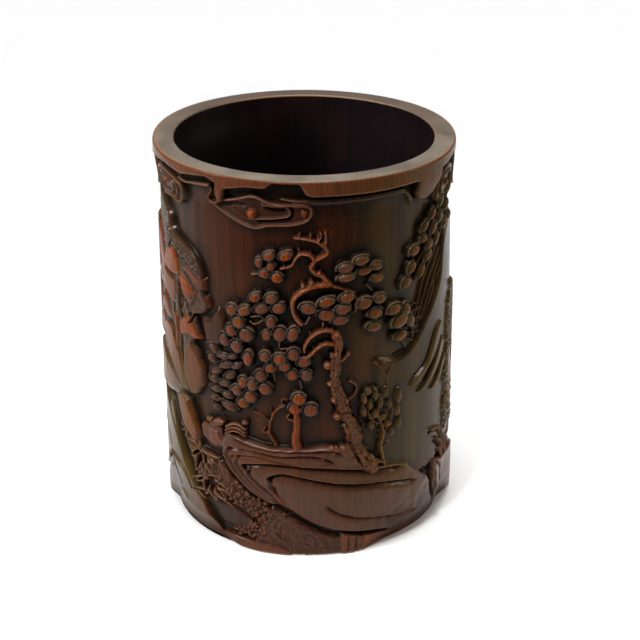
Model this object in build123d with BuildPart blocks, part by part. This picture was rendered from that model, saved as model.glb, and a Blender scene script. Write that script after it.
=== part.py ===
"""Brush pot: one length of thick bamboo culm, carved in relief all round, with a turned wooden floor let in from below.

The pot stands on its foot ring with the Z axis up the middle of the well. Its origin is the centre of the foot.
Places on the wall are given as a bearing and a height: bearing 0 is the front of the pot (-Y), and bearings grow
towards +X. All lengths are in millimetres and all bearings in degrees.
"""

import math
import os

from build123d import *

# ---- driving dimensions ----
rim_diameter = 122.0  # across the culm's own skin, which the rim and the highest relief keep
height = 166.0
rim_width = 8.6  # flat face on top of the wall
relief_depth = 4.0  # from the skin down to the cut-back ground
rim_band = 4.5  # uncarved skin left under the rim
foot_band = 4.0  # height of the plain band that the pot stands on
foot_setback = 0.8  # how far that band lies inside the skin
rim_round = 0.7
foot_round = 0.8

floor_thickness = 5.0
floor_recess = 4.0  # the floor's underside is this far above the table
rebate_depth = 1.8  # how far the floor reaches into the wall
floor_gap = 0.05  # round the floor, for the glue
seal_width = 1.6  # leg of the lacquer bead in each corner of the floor joint

# ---- sizes that follow ----
skin_radius = rim_diameter / 2
ground_radius = skin_radius - relief_depth
well_radius = skin_radius - rim_width
rebate_radius = well_radius + rebate_depth
floor_radius = rebate_radius - floor_gap
floor_top = floor_recess + floor_thickness
bite = 1.0  # how far a relief pad is sunk into the ground that it joins

# Heights of the three relief levels above the ground.
low, middle, high = 0.4 * relief_depth, 0.7 * relief_depth, relief_depth


def facing(bearing):
    """The upright plane through the pot's axis that looks out at a bearing, with its X running round the wall."""
    a = math.radians(bearing)
    return Plane(origin=(0, 0, 0), x_dir=(math.cos(a), math.sin(a), 0), z_dir=(math.sin(a), -math.cos(a), 0))


def across(degrees):
    """Sideways distance on a facing plane of a point on the skin, this many degrees from the plane's bearing."""
    return skin_radius * math.sin(math.radians(degrees))


def on_plane(points, bearing):
    return [(across(point[0] - bearing), point[1]) for point in points]


def relief_layer(level):
    """The ring, in plan, from just under the ground out to a relief level."""
    with BuildSketch(Plane.XY) as ring:
        Circle(ground_radius + level)
        Circle(ground_radius - bite, mode=Mode.SUBTRACT)
    return ring.sketch


def blob(bearing, outline):
    """A smooth patch with an outline of (bearing, height) points."""
    with BuildSketch(facing(bearing)) as patch:
        with BuildLine():
            Spline(*on_plane(outline, bearing), periodic=True)
        make_face()
    return patch.sketch


def ledge(bearing, outline):
    """A patch with straight edges and sharp corners, for broken rock."""
    with BuildSketch(facing(bearing)) as patch:
        Polygon(*on_plane(outline, bearing), align=None)
    return patch.sketch


def crown(bearing, tufts):
    """Overlapping round tufts of needles. Each tuft is (bearing, height, radius)."""
    with BuildSketch(facing(bearing)) as patch:
        for tuft in tufts:
            with Locations((across(tuft[0] - bearing), tuft[1])):
                Circle(tuft[2])
    return patch.sketch


def bough(bearing, points, width):
    """A trunk or branch of even width along (bearing, height) points."""
    with BuildSketch(facing(bearing)) as patch:
        with BuildLine():
            Polyline(*on_plane(points, bearing))
        trace(line_width=width)
    return patch.sketch


def turned(points, bearing):
    """The same points moved round the pot."""
    return [(point[0] + bearing, *point[1:]) for point in points]


# ---- outlines: (bearing, height) or, for tufts, (bearing, height, radius) ----
front_crowns = (
    (-14, ((-16, 134, 4.5), (-12, 131, 4.5), (-11, 137, 4.5), (-6, 138, 3.5))),
    (22, ((16, 131, 4.5), (22, 132, 5.0), (28, 129, 4.5))),
    (-16, ((-19, 118, 5.0), (-11, 118, 5.5), (-26, 111, 5.5), (-25, 104, 6.0), (-30, 100, 4.0))),
    (-9, ((-13, 107, 5.0), (-5, 106, 4.5))),
    (9, ((2, 117, 4.5), (9, 117, 5.5), (15, 115, 5.5), (14, 112, 4.5))),
    (34, ((26, 116, 5.0), (28, 109, 5.0), (37, 111, 5.5), (42, 105, 5.5))),
    (-8, ((-15, 92, 5.0), (-9, 94, 5.0), (-2, 94, 5.5), (-5, 89, 4.5), (1, 88, 3.5))),
    (-21, ((-17, 84, 5.0), (-22, 80, 5.5), (-25, 74, 5.0))),
    (0, ((-2, 77, 4.0), (-4, 72.5, 3.5), (2, 72.5, 4.0))),
)
back_crowns = (
    (172, ((165, 128, 5.5), (172, 131, 5.5), (180, 127, 5.5))),
    (202, ((196, 116, 5.5), (203, 118, 6.0), (210, 113, 5.5))),
    (160, ((153, 112, 5.5), (160, 114, 6.0), (167, 109, 5.5))),
    (188, ((181, 99, 5.5), (188, 102, 6.0), (195, 97, 5.5))),
    (212, ((206, 90, 5.5), (213, 86, 5.5))),
)
front_boughs = (
    (17, ((25, 43), (20, 60), (15, 73), (12, 86), (13, 100)), 6.0),
    (6, ((13, 100), (5, 101), (0, 96)), 3.0),
    (6, ((13, 104), (5, 106), (0, 100)), 3.0),
    (2, ((-4, 112), (-4, 120), (2, 125), (9, 126)), 3.0),
    (6, ((9, 126), (4, 133), (3, 138), (8, 141), (8, 147)), 2.4),
    (-2, ((-3, 54), (-2, 70)), 3.8),
    (-12, ((-11, 55), (-13, 63), (-9, 73)), 2.0),
    (31, ((32, 42), (31, 60), (27, 76)), 2.6),
)
back_boughs = (
    (182, ((176, 40), (182, 60), (178, 82), (184, 108)), 6.0),
    (172, ((179, 84), (168, 100), (171, 126)), 3.2),
    (194, ((184, 108), (196, 112), (203, 116)), 3.0),
)
front_ledges = (
    (-14, ((-35, 50), (-30, 57), (-20, 54), (0, 55), (14, 54), (14, 12), (-4, 21), (-20, 27), (-33, 40))),
    (34, ((14, 54), (28, 42), (45, 38), (56, 27), (58, 3), (38, 3), (14, 12))),
)
rear_ledges = (
    (158, ((136, 4), (136, 30), (146, 44), (160, 40), (182, 46), (182, 4))),
    (202, ((182, 4), (182, 46), (198, 36), (212, 46), (224, 28), (224, 4))),
)
cliff = ((-20, 42), (-9, 60), (-15, 92), (0, 96), (12, 128), (18, 104), (22, 70), (14, 44))
cliff_bearings = (-64, 82, 118, 244)
cloud = ((-18, 157), (-9, 160), (-1, 160), (10, 158), (18, 156), (14, 151), (2, 149), (-10, 150))
cloud_bearings = (-16, -70, 62, 112, 160, 214, 258)
bank = ((-28, 3), (-22, 15), (-6, 21), (10, 17), (26, 9), (27, 3))
bank_bearings = (-58, 84, 118, 250)

# ---- the relief: each patch is cut right out from the axis, then trimmed to its layer ----
reach = skin_radius + 1

with BuildPart() as low_relief:
    for place in cliff_bearings:
        extrude(blob(place, turned(cliff, place)), amount=reach)
    extrude(relief_layer(low), amount=height, mode=Mode.INTERSECT)

with BuildPart() as middle_relief:
    for place, outline in (*front_ledges, *rear_ledges):
        extrude(ledge(place, outline), amount=reach)
    for place in cloud_bearings:
        extrude(blob(place, turned(cloud, place)), amount=reach)
    for place in bank_bearings:
        extrude(ledge(place, turned(bank, place)), amount=reach)
    extrude(relief_layer(middle), amount=height, mode=Mode.INTERSECT)

with BuildPart() as high_relief:
    for place, tufts in (*front_crowns, *back_crowns):
        extrude(crown(place, tufts), amount=reach)
    for place, route, width in (*front_boughs, *back_boughs):
        extrude(bough(place, route, width), amount=reach)
    extrude(relief_layer(high), amount=height, mode=Mode.INTERSECT)

# ---- the culm: wall, rim band, foot band and relief, all one piece of bamboo ----
with BuildPart() as carved_culm:
    Cylinder(ground_radius, height, align=(Align.CENTER, Align.CENTER, Align.MIN))
    with BuildSketch(Plane.XY.offset(height - rim_band)):
        Circle(skin_radius)
    extrude(amount=rim_band)
    with BuildSketch(Plane.XY):
        Circle(skin_radius - foot_setback)
    extrude(amount=foot_band)
    fillet(carved_culm.faces().sort_by(Axis.Z)[-1].edges(), rim_round)
    fillet(carved_culm.faces().sort_by(Axis.Z)[0].edges(), foot_round)
    for relief in (low_relief, middle_relief, high_relief):
        add(relief.part)
    Cylinder(well_radius, height, align=(Align.CENTER, Align.CENTER, Align.MIN), mode=Mode.SUBTRACT)
    Cylinder(rebate_radius, floor_top, align=(Align.CENTER, Align.CENTER, Align.MIN), mode=Mode.SUBTRACT)
carved_culm.part.label = "carved_culm"

# ---- the floor: a turned disc that seats against the shoulder of the rebate ----
with BuildPart() as floor_disc:
    with BuildSketch(Plane.XY.offset(floor_recess)):
        Circle(floor_radius)
    extrude(amount=floor_thickness)
floor_disc.part.label = "floor_disc"

# ---- the seal: a bead of lacquer putty in the corner above the floor, and one below it ----
with BuildPart() as lacquer_seal:
    with BuildSketch(Plane.XZ):
        with BuildLine():
            Polyline(
                (well_radius, floor_top),
                (well_radius - seal_width, floor_top),
                (well_radius, floor_top + seal_width),
                close=True,
            )
        make_face()
        with BuildLine():
            Polyline(
                (rebate_radius, floor_recess),
                (rebate_radius - seal_width, floor_recess),
                (rebate_radius, floor_recess - seal_width),
                close=True,
            )
        make_face()
    revolve(axis=Axis.Z)
lacquer_seal.part.label = "lacquer_seal"

os.makedirs("parts", exist_ok=True)
for piece in (carved_culm, floor_disc, lacquer_seal):
    export_step(piece.part, f"parts/{piece.part.label}.step")
    print(piece.part.label, round(piece.part.volume), "mm3")
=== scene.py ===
"""Carved bamboo brush pot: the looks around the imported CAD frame.

The carving is worked on the wall unrolled flat, as a grid of bearing (in degrees, 0 at the front and growing
towards +X) and height (mm). Each stroke raises or cuts it, and the finished grid is rolled up into the wall.
"""

import math

import bpy
import numpy as np
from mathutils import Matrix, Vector


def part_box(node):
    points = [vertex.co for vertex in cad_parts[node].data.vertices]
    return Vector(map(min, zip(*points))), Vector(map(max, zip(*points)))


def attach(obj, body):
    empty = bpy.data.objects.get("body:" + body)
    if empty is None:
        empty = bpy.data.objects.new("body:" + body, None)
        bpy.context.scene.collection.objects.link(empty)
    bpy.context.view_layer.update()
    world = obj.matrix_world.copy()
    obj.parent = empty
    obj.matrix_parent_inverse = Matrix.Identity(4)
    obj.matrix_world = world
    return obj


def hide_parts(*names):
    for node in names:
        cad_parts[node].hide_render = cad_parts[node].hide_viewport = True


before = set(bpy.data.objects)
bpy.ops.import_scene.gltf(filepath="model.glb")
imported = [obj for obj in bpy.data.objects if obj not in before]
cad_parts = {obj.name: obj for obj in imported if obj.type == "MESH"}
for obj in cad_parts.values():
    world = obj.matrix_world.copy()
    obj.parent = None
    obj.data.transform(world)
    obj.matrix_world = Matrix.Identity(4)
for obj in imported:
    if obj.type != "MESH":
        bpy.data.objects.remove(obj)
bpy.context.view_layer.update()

# ---- driving sizes, in mm ----
MM = 0.001
_, culm_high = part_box("carved_culm")
_, floor_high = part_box("floor_disc")
skin_radius = culm_high.x / MM
height = culm_high.z / MM
relief_depth = 4.0  # from the culm's skin down to the cut-back ground
ground_radius = skin_radius - relief_depth
rim_width = 8.6
well_radius = skin_radius - rim_width
rebate_radius = floor_high.x / MM + 0.05  # with the gap for the glue
floor_top = floor_high.z / MM
rim_round = 0.7
foot_round = 0.8
edge_break = 0.4  # on the lower edge of the floor's rebate
foot_turns = (0, 30, 60)  # where the foot's rounding has its rows, in degrees
out_of_round = 0.3  # a culm is never quite a circle
foot_shift = 1.9  # nor quite upright: how far the foot of its outside lies towards +X
foot_swell = 3.2  # nor quite straight: how far the sides swell towards the foot
rim_wider = 1.35  # how far the rim swells out towards its sides
rim_square = 0.45  # how much of that is taken off at the sides and put on at the corners
handling = 0.22  # how far every edge has been softened by handling
proudest = 0.15  # how far the highest carving stands past the skin
rim_warm = 0.45  # how much of the skin's red shows on the rim
painted_shade_warmth = -0.35  # the warmth, under 0, of a place painted quite dark as shade, as round the edges of the tufts

DEGREE = math.radians(1) * (ground_radius + 2)  # mm round the wall for each degree of bearing
STAVES = 16  # the wall is one piece of bamboo, made here as this many upright meshes that share their edges
SKIN, CUT, WELL = 0, 1, 2  # the wall's material slots
columns_per_stave = 108
COLUMNS = columns_per_stave * STAVES
ROWS = 760
wall_foot, wall_top = foot_round, height - rim_round


# ---- drawing on the unrolled wall ----
def curve(points, closed=False):
    """A smooth line through (bearing, height) points, as places in mm."""
    steps = 6  # from each point to the next
    given = np.array(points, float) * (DEGREE, 1)
    if closed:
        before, after = given[[-1]], given[[0, 1]]
    else:
        before, after = 2 * given[[0]] - given[[1]], 2 * given[[-1]] - given[[-2]]
    run = np.vstack((before, given, after))
    share = np.arange(steps)[:, None] / steps
    spans = []
    for a, b, c, d in zip(run, run[1:], run[2:], run[3:]):
        bend = 2 * b + (c - a) * share + (2 * a - 5 * b + 4 * c - d) * share**2
        spans.append(0.5 * (bend + (3 * b - a - 3 * c + d) * share**3))
    last = given[[0]] if closed else given[[-1]]
    return np.vstack((*spans, last))


def straight(points, closed=False):
    """The same places joined by straight runs with sharp corners."""
    given = np.array(points, float) * (DEGREE, 1)
    return np.vstack((given, given[[0]])) if closed else given


def reached(bearing, up, length, turn):
    """The place this many mm from another, in a direction in degrees: 0 is to the right, and 90 is up."""
    a = math.radians(turn)
    return bearing + length * math.cos(a) / DEGREE, up + length * math.sin(a)


def drawn(shape, closed=False):
    """A stroke's line: a list of points is drawn smooth, and a line that has been drawn is kept."""
    return curve(shape, closed) if isinstance(shape, list) else shape


def nearest(x, z, line):
    """For each place: its distance to a line, which side of it the place is on (-1 is to the right of the way
    the line runs), and how far along the line its nearest spot is, from 0 to 1."""
    best = np.full(x.shape, 1e9)
    side = np.zeros(x.shape)
    share = np.zeros(x.shape)
    lengths = np.hypot(*np.diff(line, axis=0).T)
    starts = np.concatenate(([0], np.cumsum(lengths)))
    for a, b, length, start in zip(line, line[1:], lengths, starts):
        if length < 1e-9:
            continue
        run = (b - a) / length
        along = np.clip((x - a[0]) * run[0] + (z - a[1]) * run[1], 0, length)
        off_x, off_z = x - a[0] - along * run[0], z - a[1] - along * run[1]
        gap = np.hypot(off_x, off_z)
        closer = gap < best
        best[closer] = gap[closer]
        side[closer] = np.sign(run[0] * off_z - run[1] * off_x)[closer]
        share[closer] = ((start + along) / starts[-1])[closer]
    return best, side, share


def inside(x, z, line):
    """Whether each place is inside a closed line."""
    found = np.zeros(x.shape, bool)
    for a, b in zip(line, line[1:]):
        if a[1] != b[1]:
            crosses = (a[1] > z) != (b[1] > z)
            found ^= crosses & (x < (b[0] - a[0]) * (z - a[1]) / (b[1] - a[1]) + a[0])
    return found


def shoulder(depth, width):
    """A rounded edge: 0 outside a shape, rising to 1 at this distance inside it."""
    return np.sin(np.clip(depth / width, 0, 1) * math.pi / 2)


def ease(share):
    share = np.clip(share, 0, 1)
    return share * share * (3 - 2 * share)


class Wall:
    """The wall unrolled: lift is the carving's height above the ground in mm, and warm is how much of the
        bamboo's red skin colour shows, from 0 to 1, with painted shade where it is under 0."""

    def __init__(self):
        self.z = np.linspace(wall_foot, wall_top, ROWS)
        self.bearing = (np.arange(COLUMNS) * 360 / COLUMNS + 180) % 360 - 180
        self.lift = np.zeros((ROWS, COLUMNS))
        self.warm = np.full((ROWS, COLUMNS), 0.25)
        self.rough = self.noise(420, 180, 1)
        self.coarse = self.noise(120, 54, 2)
        self.fine = self.noise(330, 120, 6)

    def noise(self, across, up, seed):
        """Smooth noise from -1 to 1 with this many cells round the wall and up it. It has no seam."""
        lattice = np.random.default_rng(seed).uniform(-1, 1, (up + 2, across))
        c = np.arange(COLUMNS) * across / COLUMNS
        r = np.arange(ROWS) * up / ROWS
        left, low = c.astype(int), r.astype(int)
        u, v = ease(c - left), ease(r - low)[:, None]
        right, high = (left + 1) % across, low + 1
        lower = lattice[low][:, left] * (1 - u) + lattice[low][:, right] * u
        upper = lattice[high][:, left] * (1 - u) + lattice[high][:, right] * u
        return lower * (1 - v) + upper * v

    def olive(self):
        """How far the bamboo has gone green-brown, from 0 to 1: most at the right, and some at the left."""
        bearing = self.bearing
        right = ease((bearing - 8) / 26) * ease((185 - bearing) / 40) * ease((self.z - 22) / 26)[:, None]
        left = ease((-34 - bearing) / 26) * ease((bearing + 130) / 40)
        low = ease((118 - self.z) / 50)[:, None]
        patchy = 0.25 * self.noise(24, 12, 7)
        return np.clip(1.05 * right + left * (0.35 + 0.4 * low) + 0.12 + patchy, 0, 1)

    def blurred(self, field, spread):
        """The field with everything smaller than spread, in mm, smoothed away."""
        pad = 64
        tall = np.pad(field, ((pad, pad), (0, 0)), mode="edge")
        waves = np.fft.rfft2(tall)
        up = np.fft.fftfreq(tall.shape[0], (wall_top - wall_foot) / ROWS)[:, None]
        round_wall = np.fft.rfftfreq(COLUMNS, 360 * DEGREE / COLUMNS)
        waves *= np.exp(-2 * (math.pi * spread) ** 2 * (up**2 + round_wall**2))
        return np.fft.irfft2(waves, s=tall.shape)[pad:-pad]

    def window(self, line, margin):
        """The part of the grid around a line: its index, and its places in mm."""
        low, high = line.min(0) - margin, line.max(0) + margin
        turn = COLUMNS / (360 * DEGREE)
        first, last = math.floor(low[0] * turn), math.ceil(high[0] * turn)
        if last - first >= COLUMNS:
            first, last = -COLUMNS // 2, COLUMNS // 2 - 1
        columns = np.arange(first, last + 1)
        rows = np.flatnonzero((self.z >= low[1]) & (self.z <= high[1]))
        x, z = np.meshgrid(columns / turn, self.z[rows])
        return np.ix_(rows, columns % COLUMNS), x, z

    def filled(self, outline, edge):
        """The grid around an outline, its places from the outline's middle, and how much of a rounded edge
        this wide they have risen up, from 0 outside to 1 within it."""
        line = drawn(outline, True)
        place, x, z = self.window(line, edge)
        gap, _, _ = nearest(x, z, line)
        middle = line.mean(0)
        return place, x - middle[0], z - middle[1], shoulder(np.where(inside(x, z, line), gap, 0), edge)

    def along(self, route, margin):
        """The grid around a route, and for each place what nearest() says of it."""
        line = drawn(route)
        place, x, z = self.window(line, margin)
        return place, *nearest(x, z, line)

    def raise_to(self, place, value, warm):
        """A shape laid over what is there: only the parts of it that stand higher show."""
        higher = value > self.lift[place]
        self.lift[place] = np.where(higher, value, self.lift[place])
        if warm is not None:
            self.warm[place] = np.where(higher, warm, self.warm[place])

    def plate(self, outline, level, edge, warm, tilt=(0, 0), grain=0.0, over=False):
        """A patch with rounded edges. tilt is its slope round and up the wall, grain its roughness, and over
        lets it be lower than what was there."""
        place, x, z, rise = self.filled(outline, edge)
        top = level + tilt[0] * x + tilt[1] * z + grain * self.rough[place]
        if over:
            self.lift[place] = self.lift[place] * (1 - rise) + top * rise
            self.warm[place] = self.warm[place] * (1 - rise) + warm * rise
        else:
            self.raise_to(place, top * rise, warm)

    def ridge(self, route, width, level, end_width=None, warm=None, bark=0.0, on_top=False):
        """A rounded ridge along a line: a branch, a lip or a rib. bark makes its sides and top uneven, and
        on_top adds it to what is there."""
        end_width = width if end_width is None else end_width
        place, gap, _, share = self.along(route, width * 0.7)
        half = (width * (1 - share) + end_width * share) / 2 * (1 + 0.5 * bark * self.fine[place])
        form = np.cos(np.clip(gap / half, 0, 1) * math.pi / 2) ** 0.6
        if on_top:
            self.lift[place] += level * form
            return
        self.raise_to(place, (level + bark * self.rough[place]) * form, warm)

    def groove(self, route, width, depth, warm=None):
        """A cut along a line, which goes no deeper than just under the ground."""
        place, gap, _, _ = self.along(route, width / 2)
        form = np.cos(np.clip(gap / (width / 2), 0, 1) * math.pi / 2)
        self.lift[place] = np.maximum(self.lift[place] - depth * form, -0.6)
        if warm is not None:
            self.warm[place] = self.warm[place] * (1 - form) + warm * form

    def step(self, route, drop, fade, lip):
        """A bed of rock: to the right of the line the face drops sharply, then swells back out."""
        place, gap, side, share = self.along(route, fade * 3)
        ends = ease(share / 0.08) * ease((1 - share) / 0.08)
        under = np.where(side < 0, ease(gap / 0.5) * np.exp(-((gap / fade) ** 1.4)), 0)
        above = np.where(side >= 0, np.exp(-gap / 0.7), ease(1 - gap / 0.6))
        now = self.lift[place]
        self.lift[place] = np.maximum(now - 1.25 * drop * under * ends + lip * above * ends, -0.2)
        self.warm[place] += 0.55 * under * ends

    def hollow(self, outline, level, edge, warm):
        """A pocket cut down to a level."""
        place, _, _, sink = self.filled(outline, edge)
        now = self.lift[place]
        self.lift[place] = now * (1 - sink) + np.minimum(now, level) * sink
        self.warm[place] = self.warm[place] * (1 - sink) + warm * sink

    def oval(self, bearing, z0, across, up, turn, margin=1.0):
        """The grid around an oval, and each place's distance from its middle, where 1 is the oval's edge."""
        reach = max(across, up) * margin + 0.6
        middle = np.array([[bearing * DEGREE, z0]])
        place, x, z = self.window(middle, reach)
        a = math.radians(turn)
        dx, dz = x - middle[0, 0], z - z0
        run = (dx * math.cos(a) + dz * math.sin(a)) / across
        rise = (dz * math.cos(a) - dx * math.sin(a)) / up
        return place, run, rise, np.hypot(run, rise)

    def tuft(self, bearing, z0, across, up, turn, level, warm):
        """One medallion of pine needles: a rounded pad, with a thin hood that stands proud over its top."""
        place, run, rise, off = self.oval(bearing, z0, across * 1.14, up * 1.16, turn, 1.25)
        upper = ease((0.95 * rise - 0.35 * run + 0.45) / 0.7)
        pad = level - 1.9 + 1.9 * np.sqrt(np.clip(1 - (off / 0.92) ** 2, 0, 1))
        pad = np.where(off < 0.92, pad, (level - 1.9) * ease((1.04 - off) / 0.12))
        groove = 0.9 * upper * np.clip(1 - np.abs(off - 0.85) / 0.09, 0, 1)
        hood = (level - 0.1) * upper * np.clip(1.5 - np.abs(off - 0.98) / 0.07, 0, 1) ** 0.5
        # The red fades at the pad's edge into painted shade, which darkens the edge and the gaps between
        # tufts.
        self.raise_to(place, np.maximum(pad - groove, hood),
                      (warm - painted_shade_warmth) * ease((0.86 - off) / 0.45) + painted_shade_warmth)

    def knob(self, bearing, z0, across, up=None, turn=0, *, level, warm):
        """A plain rounded boss."""
        place, _, _, off = self.oval(bearing, z0, across, up or across, turn)
        self.raise_to(place, level * np.sqrt(np.clip(1 - off**2, 0, 1)), warm)

    def leaf(self, bearing, z0, length, width, turn, level):
        """A pointed leaf with a raised midrib, from its stalk end."""
        line = straight([(bearing, z0), reached(bearing, z0, length, turn)])
        place, gap, _, share = self.along(line, width)
        half = width / 2 * np.clip(np.sin(math.pi * np.clip(share, 0.02, 0.98)) ** 0.8, 0.05, 1)
        across = np.clip(gap / half, 0, 1)
        blade = level * (1 - 0.25 * across) * ease((1 - across) / 0.35)
        rib = 0.5 * np.clip(1 - gap / 0.45, 0, 1) * (across < 1)
        self.raise_to(place, blade + rib, 0.3)

    def pockets(self, bearing, z0, gaps):
        """Deep gaps between the leaves of one spray, pointed at both ends, with the leaves' edges left
        standing. Each gap is (length, width, turn)."""
        sinks = []
        for length, width, turn in gaps:
            line = straight([reached(bearing, z0, reach, turn) for reach in (1.2, length)])
            place, gap, _, share = self.along(line, width)
            half = width / 2 * np.clip(np.sin(math.pi * np.clip(share, 0.03, 0.97)) ** 0.7, 0.05, 1)
            self.raise_to(place, 3.5 * np.clip(1 - np.abs(gap - half - 0.1) / 0.8, 0, 1) ** 0.5, 0.2)
            sinks.append((place, ease((half - gap) / 0.45)))
        for place, sink in sinks:
            self.lift[place] = self.lift[place] * (1 - sink)
            self.warm[place] = self.warm[place] * (1 - sink) + 0.7 * sink

    def scatter(self, line, spacing, seed):
        """Places spread at random inside a closed line, about this far apart in mm, as (bearing, height)."""
        pick = np.random.default_rng(seed)
        low, high = line.min(0), line.max(0)
        count = np.ceil((high - low) / spacing).astype(int) + 1
        columns, rows = np.meshgrid(np.arange(count[0]), np.arange(count[1]))
        x = low[0] + (columns + 0.5 * (rows % 2)) * spacing
        z = low[1] + rows * spacing * 0.87
        x = x + pick.uniform(-0.3, 0.3, x.shape) * spacing
        z = z + pick.uniform(-0.3, 0.3, z.shape) * spacing
        keep = inside(x, z, line)
        return list(zip(x[keep] / DEGREE, z[keep])), pick

    def pebbles(self, outline, spacing, level, seed, warm, long=1.0, turn=0):
        """Small knobs of moss or broken stone, crowded together inside an outline."""
        places, pick = self.scatter(drawn(outline, True), spacing, seed)
        for bearing, z0 in places:
            size = spacing * pick.uniform(0.42, 0.66)
            self.knob(bearing, z0, size * long, size, turn + pick.uniform(-40, 40),
                      level=level * pick.uniform(0.65, 1.0), warm=warm * pick.uniform(0.4, 1.6))

    def roughen(self, outline, amount, edge):
        """Uneven chisel marks over a patch, fading out towards its edge."""
        place, _, _, within = self.filled(outline, edge)
        self.lift[place] += amount * within * self.coarse[place]


def moved(points, bearing, up=0, size=1.0, flip=False):
    """Points drawn about (0, 0), placed on the wall, and mirrored if flip is set."""
    side = -1 if flip else 1
    return [(bearing + side * size * point[0], up + size * point[1]) for point in points]


# ---- motifs that come more than once ----
def cloud(wall, bearing, up, size, flip, proud):
    """A scrolling cloud head with two rings round a boss, and a tail. proud is added to its height."""
    head = [(-9, 0), (-8, 5), (-2, 7.5), (5, 6.5), (9.5, 2.5), (9, -3), (4, -6), (-3, -6.5), (-8, -4)]
    ring = [(-6, 2.5), (-2, 4.8), (3.5, 4), (6, 0.8), (4.5, -2.6), (0, -4), (-5, -3)]
    tail = [(-8, -3.5), (-13, -3), (-18, -5), (-24, -4)]
    wisp = [(8, -2), (13, -4.5), (18, -3.5), (21, -5)]
    wall.plate(moved(head, bearing, up, size, flip), 1.8 + proud, 1.0, 0.25)
    wall.ridge(curve(moved(head, bearing, up, size, flip), True), 1.3, 3.0 + proud, warm=0.35)
    wall.ridge(moved(ring, bearing, up, size, flip), 1.2, 2.8 + proud, warm=0.35)
    wall.ridge(moved(tail, bearing, up, size, flip), 2.2, 2.4, 0.8, warm=0.3)
    wall.ridge(moved(wisp, bearing, up, size, flip), 1.8, 2.2, 0.7, warm=0.3)
    wall.knob(bearing, up + 0.5, 1.9 * size, level=3.6, warm=0.9)


def boughs(wall, limbs, warm, bark):
    """Trunks and branches. Each is (width at its foot, width at its end, level, points)."""
    for width, end_width, level, points in limbs:
        wall.ridge(points, width, level, end_width, warm=warm, bark=bark)


def burr(wall, bearing, up, size, split):
    """A knot on a trunk, with a split across it."""
    wall.knob(bearing, up, size, level=4.0, warm=0.7)
    wall.groove([(bearing - 0.5, up), (bearing + 0.5, up)], split, 0.7)


def crown(wall, bearing, up, width, rise, seed):
    """A flat-bottomed crown of pine tufts, in rows that overlap from the top down."""
    pick = np.random.default_rng(seed)
    row_gap, tuft_gap = 4.2, 5.6
    rows = max(2, round(rise / row_gap))
    for row in range(rows):
        share = row / (rows - 1)
        reach = width / 2 * math.sqrt(max(0.12, 1 - (0.85 * (1 - share)) ** 2))
        count = max(2, round(reach * 2 / tuft_gap))
        for place in np.linspace(-reach, reach, count):
            x = place + pick.uniform(-0.7, 0.7)
            z = up + rise / 2 - row * row_gap - 1.6 * (x / width * 2) ** 2 + pick.uniform(-0.5, 0.5)
            wall.tuft(bearing + x / DEGREE, z, pick.uniform(2.5, 3.2), pick.uniform(1.9, 2.5),
                      -x * 1.6 + pick.uniform(-8, 8), 3.6 * pick.uniform(0.9, 1.02), pick.uniform(0.6, 0.95))


def cliff(wall, bearing, foot, rise, seed, flip=False):
    """A tall crag of overlapping slabs, with cuts down it."""
    mass = [(-14, 0), (-12, 20), (-15, 48), (-10, 74), (-2, 92), (5, 96), (10, 82), (13, 58), (16, 34),
            (12, 0)]
    lobes = (
        (3.7, 0.6, [(-11, 8), (-9, 30), (-12, 50), (-8, 60), (-4, 44), (-5, 20)]),
        (3.9, 0.7, [(-3, 40), (-5, 62), (-2, 80), (4, 84), (5, 66), (2, 46)]),
        (3.6, 0.5, [(4, 6), (1, 26), (4, 46), (9, 48), (12, 30), (9, 8)]),
        (3.1, 0.4, [(-4, 4), (-3, 22), (1, 30), (3, 16), (1, 4)]),
    )
    scale = rise / 96  # the outlines are drawn 96 mm high
    shape = moved([(x, z * scale) for x, z in mass], bearing, foot, 1, flip)
    wall.plate(straight(shape, True), 2.2, 1.6, 0.2, grain=0.5)
    for level, warm, outline in lobes:
        shape = moved([(x, z * scale) for x, z in outline], bearing, foot, 1, flip)
        wall.plate(shape, level, 2.6, warm, tilt=(0.05, 0.01))
    pick = np.random.default_rng(seed)
    for _ in range(5):
        x, z = pick.uniform(-8, 8), pick.uniform(0.2, 0.85) * rise
        cut = [(x, z), (x + 1.5, z - 7), (x - 0.5, z - 15)]
        wall.groove(moved(cut, bearing, foot, 1, flip), 1.6, 1.5)


def bank(wall, bearing, foot, width, rise, flip=False):
    """Ground in long overlapping folds."""
    for share, level in ((1.0, 2.0), (0.72, 2.7), (0.42, 3.3)):
        hill = [(-0.5, -1.2), (-0.42, 0.35), (-0.15, 0.95), (0.12, 0.9), (0.38, 0.4), (0.5, -1.2)]
        outline = [(x * width * share, z * rise * share) for x, z in hill]
        wall.plate(moved(outline, bearing, foot, 1, flip), level, 2.2, 0.25, tilt=(0, 0.03))


def spray(wall, bearing, up, length, turns, level=2.7):
    """Bamboo leaves fanning out from one joint."""
    for count, turn in enumerate(turns):
        wall.leaf(bearing, up, length * (1 - 0.12 * (count % 3)), length * 0.24, turn,
                  level - 0.25 * (count % 2))


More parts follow.
